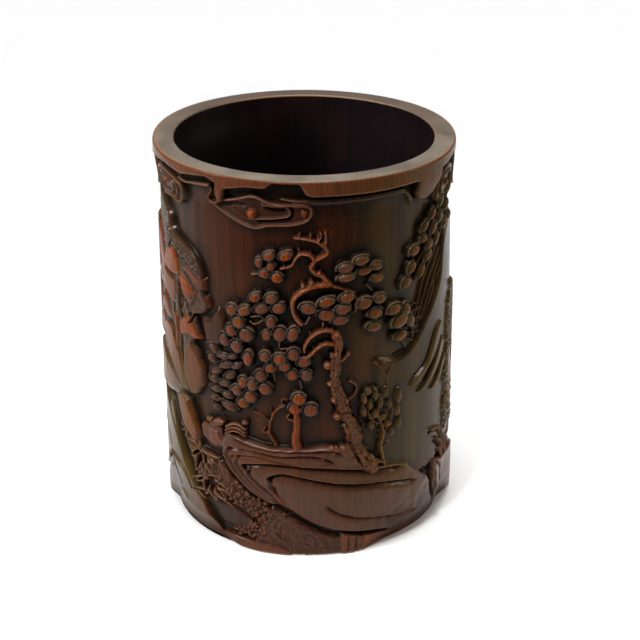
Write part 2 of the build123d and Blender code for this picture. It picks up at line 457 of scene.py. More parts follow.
# ---- the rim and the clouds of the front ----
def rim(wall):
    """The band of bare skin under the rim, with the shapes that its lower edge is cut to."""
    edge = [(-183, 161.5), (-150, 162), (-130, 161), (-105, 162), (-85, 161), (-72, 162.6), (-62, 163),
            (-50, 162.4), (-38, 163.6), (-33.5, 162.6), (-32, 157), (-29.8, 157), (-29, 161.5), (-22, 162.6),
            (-14, 162.8), (-11.5, 164.8), (-2.5, 164.8), (0.6, 161.6), (3, 161), (24, 161), (44.5, 161.2),
            (44, 157.2), (45.5, 154.3), (49, 153.6), (53, 155), (57, 158.6), (60, 162), (75, 163),
            (90, 161.4), (115, 162), (140, 161), (160, 162), (183, 161.5)]
    skin = straight([(-183, 170), *edge, (183, 170)], True)
    wall.plate(skin, relief_depth, 0.7, rim_warm)
    wall.warm[wall.z > wall_top - 0.5] = rim_warm
    shelf = [(-14, 160.2), (-6, 160), (3, 160.7), (20, 160.8), (37, 160.6), (41, 159.4), (44, 156),
             (44.6, 153.4), (43, 153), (41.5, 155.5), (38, 158), (20, 157.9), (3, 157.7), (-6, 158.9)]
    wall.plate(shelf, 1.7, 0.8, 0.1)
    fold = [(-8, 160.2), (3, 159.2), (20, 159.2), (37, 159), (41, 157), (42.7, 153.6), (45, 152.9)]
    wall.ridge(fold, 0.9, 2.2, warm=0.1)
    wall.ridge([(-52, 161.2), (-48, 160.6), (-43, 161.2), (-36.5, 161.6)], 1.3, 2.8, warm=0.2)
    curl = [(-36.5, 161.6), (-35.4, 160), (-37.2, 157.2), (-36.4, 155.4), (-33.5, 154.8)]
    wall.ridge(curl, 1.0, 2.1, warm=0.5)


def front_cloud(wall):
    """The broad cloud under the rim, with a red boss in its hollow."""
    outline = [(-33.5, 154.8), (-31, 157), (-25, 158.6), (-18.5, 160.5), (-12, 158.3), (-5, 158),
               (1.5, 157.6), (2.8, 155.2), (1, 152.2), (-4, 150.6), (-13, 149.8), (-18.5, 148.4),
               (-26, 150.8)]
    tongue = [(-15, 157.8), (-11.5, 157.4), (-7, 157.5), (-5, 156), (-5.4, 154), (-9, 153), (-15, 152.2),
              (-20, 151.8)]
    wall.plate(outline, 1.5, 1.2, 0.15)
    wall.ridge(curve(outline, True), 1.7, 2.7, warm=0.3)
    wall.ridge(tongue, 1.2, 2.9, warm=0.15)
    wall.ridge([(-27, 155.6), (-23, 152.4), (-17, 150.6)], 2.0, 2.1, 1.0, warm=0.15)
    wall.groove([(-16.5, 151.3), (-10, 152.1), (-5.4, 153), (-3.9, 155.2), (-4.6, 157)], 1.1, 1.2)
    wall.groove([(-13.5, 156.6), (-10, 156), (-7, 156.2)], 1.6, 1.1)
    wall.groove([(-31.5, 155.2), (-27, 156.6), (-22, 156.8)], 1.8, 0.9)
    wall.plate([(-0.8, 157), (2.2, 155.6), (0.6, 152.6), (-1.2, 154.5)], 2.6, 1.2, 0.9)
    wall.knob(-19, 153.8, 2.4, 2.2, level=3.7, warm=1.0)


def side_clouds(wall):
    """The cloud heads that run out of sight on either side of the front."""
    left = [(-84, 152), (-76, 161), (-64, 162.6), (-54, 161.4), (-49.6, 158), (-49.4, 153), (-53, 149.6),
            (-60, 150.4), (-66, 148.6), (-76, 149)]
    wall.plate(left, 1.9, 1.0, 0.2)
    for reach in (0, 3.2, 6.4):
        ring = [(-76 + reach, 152), (-71 + reach * 0.6, 160.5 - reach * 0.5), (-62, 161.2 - reach * 0.55),
                (-52.5 - reach, 159.6 - reach * 0.3), (-50.3 - reach, 155.6),
                (-52.5 - reach, 151.2 + reach * 0.35), (-60, 151.4 + reach * 0.3), (-67, 150.4 + reach * 0.3)]
        wall.ridge(ring, 1.5, 3.3 - reach * 0.05, warm=0.3)
    wall.knob(-63, 157.2, 2.0, 1.8, level=3.8, warm=1.0)
    right = [(56, 153), (58, 158.5), (63, 162), (72, 162.5), (79, 158), (78, 151), (70, 147.5), (60, 148.5)]
    wall.plate(right, 2.2, 1.0, 0.2)
    for reach in (0, 3.4):
        ring = [(58 + reach, 150.5 + reach * 0.5), (58.5 + reach, 157 - reach * 0.2), (64, 161 - reach * 0.6),
                (72, 160.8 - reach * 0.6), (77 - reach, 156.5), (75 - reach, 151), (68, 149.2 + reach * 0.5)]
        wall.ridge(ring, 1.5, 3.4, warm=0.3)
    wall.knob(67, 155, 2.2, 2.0, level=3.8, warm=0.8)
    wall.ridge([(78, 151), (86, 149), (94, 151.5), (104, 149.5)], 2.6, 2.6, 0.9, warm=0.25)
    for bearing, up, size, flip, proud in ((-88, 155, 1.0, True, 0.9), (88, 155, 1.0, False, 0.9),
                                           (122, 154, 0.9, False, 0), (168, 153.5, 1.0, True, 0),
                                           (216, 154.5, 0.9, False, 0), (262, 153.5, 0.95, True, 0)):
        cloud(wall, bearing, up, size, flip, proud)


# ---- the old pine of the front ----
def front_pine(wall):
    """The leaning pine with its burred trunk, and the bare wood of the small one to its left."""
    limbs = (
        (8.5, 3.9, 4.0, [(28, 41.5), (24.5, 46), (21.5, 52), (20, 59), (17.3, 67), (15.2, 73), (13.2, 80),
                         (12.2, 87), (12.4, 94), (13.4, 101), (12.4, 105.5)]),
        (2.9, 1.7, 3.2, [(13, 100.6), (8.5, 101.8), (5, 99.8), (2, 96.6), (-1, 95.6)]),
        (2.7, 1.7, 3.3, [(12.6, 104.6), (10, 107.2), (6, 107), (2.6, 104.6), (0.6, 101.2), (0.4, 98.4)]),
        (2.2, 3.2, 3.6, [(-1, 110.4), (-3.4, 114), (-4.2, 118.5), (-3, 121.8), (0, 124.4), (4, 126.2),
                         (9.4, 126.6)]),
        (2.6, 1.0, 3.5, [(8.8, 126.6), (7.2, 129.8), (4.4, 131.2), (2.6, 133.6), (3.8, 136), (2.4, 138.6),
                         (-1, 139.2), (-3.2, 137), (-4.6, 134.4), (-8.6, 133)]),
        (2.4, 0.9, 3.2, [(4, 136.4), (6.6, 137.8), (8.8, 139.4), (7.4, 141.8), (4.8, 143.8), (1, 144.9),
                         (-3.4, 145.4)]),
        (1.5, 0.8, 2.8, [(7.8, 141), (8.2, 144), (8, 147.4)]),
        (1.1, 0.7, 2.5, [(5.2, 143.6), (6.6, 145.8), (6.2, 147)]),
        (2.0, 1.1, 2.4, [(9.4, 126.4), (13.4, 124.6), (17.6, 123), (20, 119.5), (19.8, 114)]),
        (4.6, 3.2, 3.6, [(-2.6, 54.4), (-3.2, 59), (-2.6, 64), (-2.8, 71)]),
        (1.5, 0.9, 3.0, [(-3, 66.6), (-6.4, 68.4), (-5.6, 69.9)]),
        (1.9, 0.7, 2.4, [(-11, 55), (-13.6, 60.5), (-13, 66), (-11, 71), (-7.4, 74)]),
        (0.9, 0.6, 2.0, [(-13.2, 64.8), (-16, 67.6), (-20.4, 69)]),
        (1.3, 0.6, 2.2, [(-13.4, 60.6), (-16.4, 60.2), (-15.6, 62)]),
        (0.9, 0.6, 1.8, [(-13, 66), (-12.6, 69.6), (-13.2, 72)]),
        (0.8, 0.5, 1.8, [(-8.4, 73.6), (-8.4, 76.2), (-5.4, 76.2)]),
    )
    boughs(wall, limbs[:1], 0.4, 0.5)
    boughs(wall, limbs[1:], 0.8, 0.28)
    twigs = (
        [(-20.5, 111.6), (-16.4, 112.6), (-15.6, 110.8), (-19, 108.6), (-21, 109.6)],
        [(2.4, 113.6), (0.4, 110.2), (-1.6, 112.6)],
        [(-9.2, 102.6), (-9, 99.4), (-5, 99.8)],
        [(7.4, 110.8), (7.4, 108.6)],
        [(-11.4, 88.2), (-11.2, 84.6)],
        [(-1.4, 85.6), (-0.8, 81.6)],
        [(28, 90.4), (31, 86.8), (33.6, 82), (34.4, 77.4)],
        [(31, 86.8), (32.6, 89.4)],
        [(33.6, 82), (35.6, 86.4)],
        [(18, 84), (20.8, 81.4), (20, 77.6), (17.4, 75.4)],
        [(24, 124.6), (26.6, 121.4)],
        [(-19.6, 129.4), (-17.4, 130), (-15.6, 129.4)],
    )
    for points in twigs:
        wall.ridge(points, 1.2, 2.6, 0.7, warm=0.35)
    # Short spikes stand up along the bare limbs.
    for limb, spikes in ((1, 6), (2, 9), (3, 8), (5, 7), (4, 8)):
        line = curve(limbs[limb][-1])
        for spot in np.linspace(2, len(line) - 3, spikes).astype(int):
            x, z = line[spot]
            reach = 1.9 + 0.7 * math.sin(5 * spot)
            tip = (x / DEGREE + 0.5 * math.sin(3 * spot), z + reach)
            wall.ridge(straight([(x / DEGREE, z + 0.4), tip]), 0.9, 2.6, 0.4, warm=0.45)
    # Bark: long furrows down the trunk, and the knots and the broken stub on it.
    for shift, foot, top in ((-2.4, 46, 76), (-1.5, 44, 96), (-0.4, 48, 88), (0.5, 46, 99), (1.6, 44, 90),
                             (2.5, 45, 70)):
        route = [(24.6 + shift, foot), (21.4 + 1.1 * shift, 53), (19.6 + 0.8 * shift, 62),
                 (15.6 + 1.1 * shift, 70), (13.6 + 0.7 * shift, 79), (12.4 + 0.8 * shift, 86),
                 (12.6 + shift * 0.5, top)]
        wall.groove([point for point in route if point[1] <= top], 0.9, 1.0, 0.3)
    for bearing, up, size in ((9.2, 92.2, 1.9), (12.4, 104.6, 2.3), (13, 68.6, 1.7), (17.2, 96.4, 1.0),
                              (10.4, 96.6, 1.4), (10, 84, 1.2), (8.2, 128, 1.5), (5.6, 131.4, 1.2),
                              (3, 127.4, 1.3), (-0.2, 126.2, 1.1), (17.6, 61.6, 1.5), (22.4, 57.4, 1.3),
                              (16.6, 75.4, 1.2), (11.6, 76.4, 1.3), (23.6, 49, 1.6), (27.6, 46.6, 1.4),
                              (19.4, 66.4, 1.0), (24.4, 43.6, 1.2)):
        burr(wall, bearing, up, size, size * 0.8)
    wall.ridge([(13.6, 94), (15.4, 94.8), (17, 97)], 2.2, 3.6, 0.9, warm=0.6)
    wall.hollow([(5.6, 98.2), (8, 99.4), (10.2, 98), (10, 95.2), (7.6, 94.4)], -0.3, 1.0, 0.05)
    wall.hollow([(1, 123.6), (6, 124.6), (12, 123.8), (8, 122.4), (3, 122.2)], -0.3, 0.8, 0.05)
    wall.hollow([(14, 127.2), (18, 126.2), (22, 126.6), (19, 125.2)], -0.3, 0.7, 0.05)


# Tufts of the front pine: bearing, height, half width, half height, turn.
FRONT_TUFTS = (
    (-12.7, 137.9, 2.7, 2.0, 30), (-6.5, 138.4, 3.0, 2.0, 26), (-16.4, 134.9, 1.7, 2.3, 0),
    (-12.1, 133.7, 1.9, 2.2, -25), (-14.4, 130.8, 2.1, 2.1, 40), (-9.8, 129.4, 2.5, 2.3, 0),
    (21.5, 135.2, 3.4, 2.1, 6), (15.5, 132.9, 3.5, 2.1, 10), (27.6, 131.8, 2.8, 1.9, 0),
    (22.8, 130.6, 3.3, 1.9, 4), (15.8, 129, 3.7, 1.8, 6), (28, 127, 2.9, 1.9, 8),
    (-18.2, 120.4, 2.9, 2.0, 32), (-12, 120.7, 3.0, 2.2, 26), (-27.9, 113.4, 2.4, 2.7, -25),
    (-22.6, 114.1, 3.1, 2.2, 30), (-15.8, 115.9, 3.4, 2.3, 26), (-9.3, 116.9, 3.0, 2.5, 28),
    (-25.1, 108.8, 2.9, 2.9, 0), (-28.4, 104.4, 2.4, 2.9, 10), (-22.2, 103.6, 3.4, 3.2, 10),
    (-31.6, 99.5, 2.4, 3.1, 12), (-26.1, 98, 2.8, 3.0, 10), (-21.5, 93.6, 2.1, 3.5, -6),
    (-12.3, 110.5, 2.2, 2.8, -16), (-14, 104.8, 2.0, 2.5, -22), (-9, 105.7, 2.9, 3.4, -14),
    (-4, 106.2, 2.3, 3.4, -20), (1.7, 117.1, 3.6, 2.5, -8), (8.6, 119.6, 3.7, 2.2, 16),
    (16.2, 120.7, 3.3, 2.2, 12), (14.6, 116.2, 3.5, 2.2, 10), (8.6, 114.1, 3.8, 2.6, -8),
    (13.6, 111.6, 3.6, 2.2, 6), (23, 117.3, 3.3, 2.6, 12), (29.2, 118.2, 2.8, 2.3, -6),
    (27.6, 112.2, 3.4, 2.4, 2), (27.2, 106.7, 3.5, 2.4, -4), (36, 111.7, 3.6, 2.5, 10),
    (41.6, 110.4, 2.2, 3.1, 20), (44.4, 104.4, 2.1, 3.5, 16), (38.8, 106.2, 4.2, 3.2, 20),
    (39.6, 99.4, 3.6, 2.6, 10), (-14.7, 95.6, 2.4, 2.5, -22), (-9, 95.2, 3.0, 2.6, 26),
    (-3.8, 97.3, 2.7, 3.0, -20), (0.2, 94, 3.0, 2.3, 22), (-7.3, 92, 2.6, 2.2, 28),
    (-12.6, 90.6, 2.6, 2.3, 10), (-4.3, 88.2, 2.5, 2.7, 0), (1.1, 88.2, 2.5, 2.8, 0),
    (-16.6, 86.6, 2.7, 2.8, -20), (-24, 82.2, 2.4, 2.9, -10), (-20, 82.1, 2.4, 2.9, -8),
    (-15, 81, 3.1, 3.1, 0), (-26.6, 78, 2.4, 2.7, 0), (-21, 76.4, 2.9, 3.1, 0), (-24.2, 72.6, 2.9, 2.6, 18),
    (-1.8, 77.7, 2.9, 2.9, 0), (-3.4, 72.8, 2.7, 2.7, 0), (2.6, 72.6, 3.1, 3.2, 0),
)

# Longer tufts of the crown at the right, which lean along their branch.
SIDE_TUFTS = (
    (41.6, 121.5, 3.1, 2.1, 36), (44, 127, 3.0, 1.9, 52), (49.2, 123.8, 3.3, 1.6, 58),
    (45.4, 133.6, 3.1, 2.2, 22), (53, 129.4, 3.4, 1.6, 50), (53.8, 133.8, 2.7, 1.6, 42),
    (50.4, 137, 2.6, 1.7, 30), (59, 134.4, 3.5, 1.6, 50), (51, 142, 3.2, 1.7, 44),
    (56.4, 139.6, 3.4, 1.7, 48), (55.6, 145.6, 3.2, 1.8, 46), (61.6, 142.6, 3.4, 1.8, 52),
    (63, 148.6, 3.2, 1.9, 50), (66.6, 138.6, 3.0, 1.8, 40), (69.6, 145, 3.2, 1.9, 40),
    (73.6, 139, 3.0, 1.9, 30),
)


def front_tufts(wall):
    """The needles of the front pine and of the crown at the right, which hangs from a bough of its own."""
    pick = np.random.default_rng(31)
    for bearing, up, across, rise, turn in FRONT_TUFTS + SIDE_TUFTS:
        topmost = up > 128 and bearing < 0
        on_small_pine = -6 < bearing < 6 and up < 80
        bright = 1.15 if topmost or on_small_pine else 0.72
        wall.tuft(bearing, up, across, rise, turn, pick.uniform(3.3, 4.0), bright * pick.uniform(0.5, 1.25))
    wall.ridge([(78, 150), (66, 143), (58, 137), (52, 132), (46, 125)], 1.8, 2.2, 0.8, warm=0.4)


def front_shrub(wall):
    """The dense small tree to the right of the pine's foot."""
    tangle = [(22, 64), (22.6, 77), (27, 80), (33, 79), (38, 76.4), (42, 72), (42.4, 60), (39, 54), (35, 44),
              (29.5, 44), (30, 56), (25, 60)]
    wall.plate(tangle, 0.9, 1.6, 0.05, grain=0.8)
    stems = (
        (2.6, 1.4, 3.2, [(33.4, 41.5), (31.6, 50), (32.4, 58), (29.6, 66)]),
        (1.6, 0.9, 2.8, [(32.2, 56), (36, 62), (36.6, 70)]),
        (1.4, 0.9, 2.8, [(30, 62), (26.4, 66), (25.6, 72)]),
        (1.5, 0.8, 2.9, [(29.8, 66), (30.4, 74), (28.4, 79)]),
        (1.2, 0.7, 2.3, [(31.4, 50), (35.4, 50.6), (34.6, 52.6)]),
        (1.2, 0.8, 2.6, [(31.8, 60.4), (34, 64.4), (33, 68)]),
    )
    boughs(wall, stems, 0.5, 0.4)
    clumps = ((24, 74.6, 1.2, 2.3, 0.9), (23.8, 69, 1.3, 2.4, 0.9), (26.4, 71.8, 1.1, 2.4, 0.6),
              (28.6, 75.6, 1.2, 2.7, 0.4), (31, 72, 1.1, 2.9, 0.3), (33.2, 75.4, 1.3, 2.5, 0.3),
              (35, 69.8, 1.1, 2.8, 0.3), (39.4, 72, 1.7, 3.5, 0.45), (38.8, 65.4, 1.6, 2.9, 0.45),
              (39.8, 58.8, 1.5, 2.8, 0.4), (28.4, 66.6, 1.4, 1.9, 0.6), (34.4, 60.4, 2.2, 1.5, 0.6),
              (31.6, 64.2, 2.0, 1.3, 0.5), (27.2, 61.8, 1.4, 1.9, 0.4), (36.4, 56.2, 1.4, 2.0, 0.4),
              (25.6, 78, 1.5, 1.5, 0.4))
    for bearing, up, across, rise, warm in clumps:
        wall.tuft(bearing, up, across, rise, 0, 3.3, warm)


# ---- the rock shelf and the ground under it ----
def front_ledge(wall):
    """The broad shelf in beds of rock, which the pines stand on."""
    shelf = [(-35.4, 49), (-34, 55), (-30.4, 57.8), (-22, 55.9), (-12, 54.4), (0, 55), (8, 55.6), (14, 54.8),
             (18, 52), (20, 48.4), (25, 45), (30, 43), (38, 40.2), (44, 38.6), (46.4, 36), (50, 32.2),
             (55, 28), (60, 23.6), (63.4, 18), (66, 10), (68, 2), (44, 2.6), (34, 5.8), (22, 9.2), (12, 12.2),
             (6, 15), (0, 18.4), (-5, 22.2), (-9.6, 25.2), (-14, 25.6), (-20, 28.4), (-25, 31.6), (-30, 36.8),
             (-34, 42)]
    wall.plate(shelf, 3.5, 2.2, 0.16, over=True)
    beds = (
        (1.5, 1.3, 0.4, [(-30, 56), (-22, 53.9), (-12, 52.7), (0, 53.2), (8, 53.6), (13, 52.8), (17, 50)]),
        (1.3, 1.5, 0.4, [(-33.4, 49.6), (-28, 50.9), (-20, 51.3), (-10, 50.5), (0, 51.2), (6, 50.8),
                         (11, 48.6), (13.4, 45.8)]),
        (1.0, 1.3, 0.35, [(-30.6, 44), (-29.4, 47), (-24, 48.2), (-18, 48.9), (-11, 48), (0, 46.8)]),
        (2.2, 2.0, 0.5, [(-21, 37.6), (-25.4, 43.2), (-20, 45.1), (-14, 46.2), (-4, 46), (8, 45.2),
                         (20, 42.9), (32, 40.4), (44, 37.4)]),
        (2.2, 2.2, 0.5, [(-11.6, 35), (-14.6, 38.8), (-11, 41.4), (-7, 42), (0, 40.6), (10, 38), (20, 35.7),
                         (32, 33.6), (42, 30.6), (52, 26.6)]),
        (0.7, 1.4, 0.3, [(-9.8, 36.8), (-10.4, 33), (-8.6, 29.4), (-4, 24.4), (0, 21.2), (5, 17.8)]),
        (1.2, 2.0, 0.4, [(8.4, 28.4), (11, 24.8), (15, 21.8), (22, 18.6), (32, 15.6), (42, 12.4), (54, 9.6)]),
    )
    for drop, fade, lip, points in beds:
        wall.step(points, drop, fade, lip)
    folds = (
        [(-31.6, 50), (-33, 46), (-30, 40.4), (-24, 34.2), (-17, 29), (-11, 26.4)],
        [(-27.6, 47), (-28.8, 43), (-25.4, 38), (-19, 32), (-12, 27.6)],
        [(-22.6, 41.4), (-23.4, 38.6), (-18, 33.4), (-12.8, 29.6)],
        [(-14.6, 38), (-14.2, 34.6), (-11, 30.6), (-7, 26)],
    )
    for points in folds:
        wall.ridge(points, 1.3, 0.55, on_top=True)
        wall.groove(moved(points, 1.5, 0.5), 1.8, 0.6)
    wall.roughen(shelf, 0.16, 2)
    # The pine's root spreads over the shelf, with a knob and some moss beside it.
    wall.plate([(14, 54.6), (19, 55), (24, 52), (30, 46), (38, 40.6), (28, 42.4), (20, 44), (15, 45.4)], 3.4,
               1.6, 0.35, grain=0.5)
    wall.knob(7.4, 49.4, 1.1, level=3.4, warm=0.6)
    wall.pebbles([(9, 55), (16, 54), (15, 51), (9, 52.6)], 1.3, 4.0, 5, 0.6)


def front_ground(wall):
    """What lies under and beside the shelf: moss, worn ground, and plank-like stones at the foot."""
    worn = [(-14, 24), (-4, 20), (10, 11.5), (24, 7.6), (44, 1), (44, -3), (-16, -3), (-22, 6)]
    wall.plate(worn, 1.9, 3.0, 0.2, grain=0.25)
    # Two curled ripples, and a row of faint chisel marks.
    for radius in (5.2, 7.6):
        arc = [(-5 + radius * math.cos(math.radians(a)),
                13.5 + radius * math.sin(math.radians(a))) for a in range(70, 260, 30)]
        wall.ridge(arc, 1.0, 0.45, on_top=True)
    for count in range(14):
        x, z = -12 + 2.3 * count, 8 + 5 * math.sin(count * 2.1)
        wall.ridge([(x, z + 2), (x + 2, z), (x + 1, z - 3)], 0.8, 0.4, on_top=True)
    for level, warm, points in (
        (2.9, 0.45, [(14.6, 11.6), (24, 8), (30, 6), (30, -3), (14.6, -3)]),
        (3.3, 0.75, [(24, 8.6), (44, 3), (50, -3), (24, -3)]),
        (3.0, 0.5, [(40, 5), (66, 4), (72, -3), (38, -3)]),
    ):
        wall.plate(straight(points, True), level, 1.2, warm, grain=0.2, over=True)
    for x, foot, top in ((17.5, 1, 9), (20.6, 1, 7.6), (27, 1, 5)):
        wall.groove([(x, foot), (x + 0.6, top)], 0.9, 0.8)
    wall.plate([(-36, 4.6), (-20, 5.4), (-8, 4), (-2, -4), (-40, -4)], 2.8, 2.0, 0.35)
    moss = [(-35, 36), (-29, 34), (-22, 28.6), (-14, 25), (-11.4, 20), (-16, 14), (-15, 8.4), (-20, 5),
            (-28, 6), (-32, 8), (-26, 13), (-19.5, 15), (-24, 20), (-30, 20), (-35, 27)]
    wall.plate(straight(moss, True), 1.4, 1.4, 0.1, grain=0.5)
    wall.pebbles(straight(moss, True), 2.1, 3.3, 11, 0.3, 1.15)
    patch = [(-48, 15.4), (-36, 18.6), (-28, 18.4), (-22, 13.6), (-26, 9), (-34, 7), (-42, 7.4)]
    wall.plate(patch, 0.9, 2.0, 0.0, over=True)


def front_bamboo(wall):
    """Two sprays of bamboo low at the left: light leaf edges, with deep pointed gaps between them."""
    thicket = [(-61, 41), (-56, 44), (-48, 43.6), (-39, 42), (-33, 39), (-30, 33), (-31, 25), (-38, 19.4),
               (-45, 19.6), (-51, 25), (-54, 31)]
    wall.plate(thicket, 1.9, 1.8, 0.3, grain=0.3)
    spray(wall, -46.8, 41.4, 11, (-172, -152, -134, 2, -18, 160, 142, -34), 3.0)
    spray(wall, -57.6, 46, 7, (-150, -120, -90, 178), 2.5)
    wall.pockets(-47, 42, ((13, 3.2, -108), (12, 3.2, -82), (12, 3.0, -56), (9, 2.0, -136), (8, 1.8, -28)))
    wall.pockets(-45, 29, ((9, 2.8, -92), (11, 3.1, -60), (13, 3.2, -33), (12.6, 2.8, -8), (9, 1.8, 16),
                           (8, 1.8, -140)))
    wall.ridge([(-55, 22.6), (-51, 26), (-47, 28.4), (-43.8, 28.4)], 1.0, 3.0, warm=0.3)
    wall.ridge([(-48.6, 45.6), (-46.8, 41), (-46, 36), (-43.8, 28.4)], 1.0, 3.0, warm=0.3)


def left_ground(wall):
    """The worn slopes of the lower left, with a long fold running down across them."""
    slope = [(-96, 58), (-84, 54), (-76, 48), (-66, 40), (-58, 30), (-52, 22), (-50, 8), (-56, -4),
             (-104, -4), (-108, 30)]
    wall.plate(slope, 3.2, 3.5, 0.1)
    hill = [(-66, 14), (-60, 17), (-54.6, 19.2), (-49, 17.4), (-44.6, 13.6), (-40.6, 8.6), (-36, -4),
            (-70, -4)]
    wall.plate(hill, 3.3, 1.3, 0.45, tilt=(0.03, 0))
    wall.ridge([(-76, 9), (-68, 12.6), (-60, 16.4), (-53, 18.8), (-43.6, 21.6), (-36, 21.4), (-30.7, 19)],
               1.3, 3.3, 0.9, warm=0.3)
    wall.groove([(-54, 17.6), (-47.6, 14.4), (-41.4, 8), (-36, 1)], 1.5, 2.4, 0.0)
    wall.plate([(-72, 8), (-64, 11), (-58, 6), (-56, -4), (-74, -4)], 3.6, 1.6, 0.7)
    loop = [(-84, 17), (-78, 22.6), (-71, 24.6), (-64, 24.6), (-58.6, 22), (-56.4, 18.6)]
    wall.ridge(loop, 1.3, 4.3, 0.8, warm=0.3)
    wall.groove(moved(loop, 0, -1.8), 1.8, 1.6, 0.1)
    wall.ridge([(-78, 21), (-74, 14), (-68, 11)], 1.0, 3.9, 0.7, warm=0.3)
    for points in ([(-100, 34), (-88, 36), (-80, 31), (-76, 24)], [(-98, 9), (-86, 11), (-78, 15)]):
        wall.step(points, 1.4, 2.0, 0.5)


def left_rocks(wall):
    """Broken blocks at the left end of the shelf, with thin slabs on top of them."""
    blocks = (
        (2.5, 0.3, [(-46.8, 54.6), (-45, 57), (-42, 57.4), (-40.6, 59), (-37, 58.8), (-34, 58), (-33.2, 52),
                    (-35, 47), (-40, 46.6), (-45.6, 49.4)]),
        (3.2, 0.35, [(-41.6, 56), (-35.6, 56.4), (-33.6, 51), (-36, 47.6), (-41, 49)]),
        (2.9, 0.3, [(-43.8, 58.4), (-42.6, 60.6), (-39.4, 61.2), (-38.8, 58.8), (-41, 57.4)]),
        (3.4, 0.35, [(-39.4, 60.4), (-36, 62.4), (-32.6, 61.4), (-33.4, 58.6), (-37.4, 57.6)]),
    )
    for level, warm, points in blocks:
        wall.plate(straight(points, True), level, 1.0, warm, grain=0.15)
    for shift, level in ((1.5, 3.5), (0, 3.9), (-1.5, 4.0)):
        slab = [(-32.2, 57.8 + shift), (-29, 60 + shift), (-26, 60.2 + shift), (-23.4, 58.8 + shift)]
        wall.ridge(slab, 1.7, level, 1.3, warm=0.4)
    wall.knob(-23.8, 63.4, 1.8, 1.5, level=3.2, warm=0.0)


def left_foliage(wall):
    """Low leaf-shaped foliage in front of the cliff's foot, and the worn ground above it."""
    worn = [(-45, 105), (-39.6, 107), (-35.6, 112), (-31.8, 109.6), (-31, 104), (-31.8, 97), (-37, 93.4),
            (-42, 93)]
    wall.plate(worn, 1.7, 3.0, 0.15)
    leaves = ((-37.6, 93.4, 3.4, 1.8, -24), (-33, 91.4, 3.8, 1.6, 6), (-28.6, 92.4, 2.6, 1.4, 20),
              (-38.6, 88.8, 3.0, 2.3, -30), (-32.2, 87.6, 3.6, 1.9, 18), (-27, 88.4, 3.0, 1.5, 26),
              (-36.6, 84, 3.4, 2.0, 24), (-30, 83.4, 3.2, 1.8, 26), (-38, 79.6, 2.8, 2.2, 10),
              (-32.8, 79, 3.4, 1.7, 12), (-28.8, 77.6, 2.4, 1.5, 0), (-37.4, 75, 3.2, 1.7, -4),
              (-31.6, 74, 3.4, 1.7, -8), (-38, 70.8, 3.0, 1.6, -12), (-31, 69, 4.6, 2.0, -14),
              (-37.4, 66.6, 2.8, 1.4, -18))
    for bearing, up, across, rise, turn in leaves:
        wall.tuft(bearing, up, across, rise, turn, 2.7, 0.3)


SIDE = -68  # past this bearing the facets of the cliff are broader, and more worn


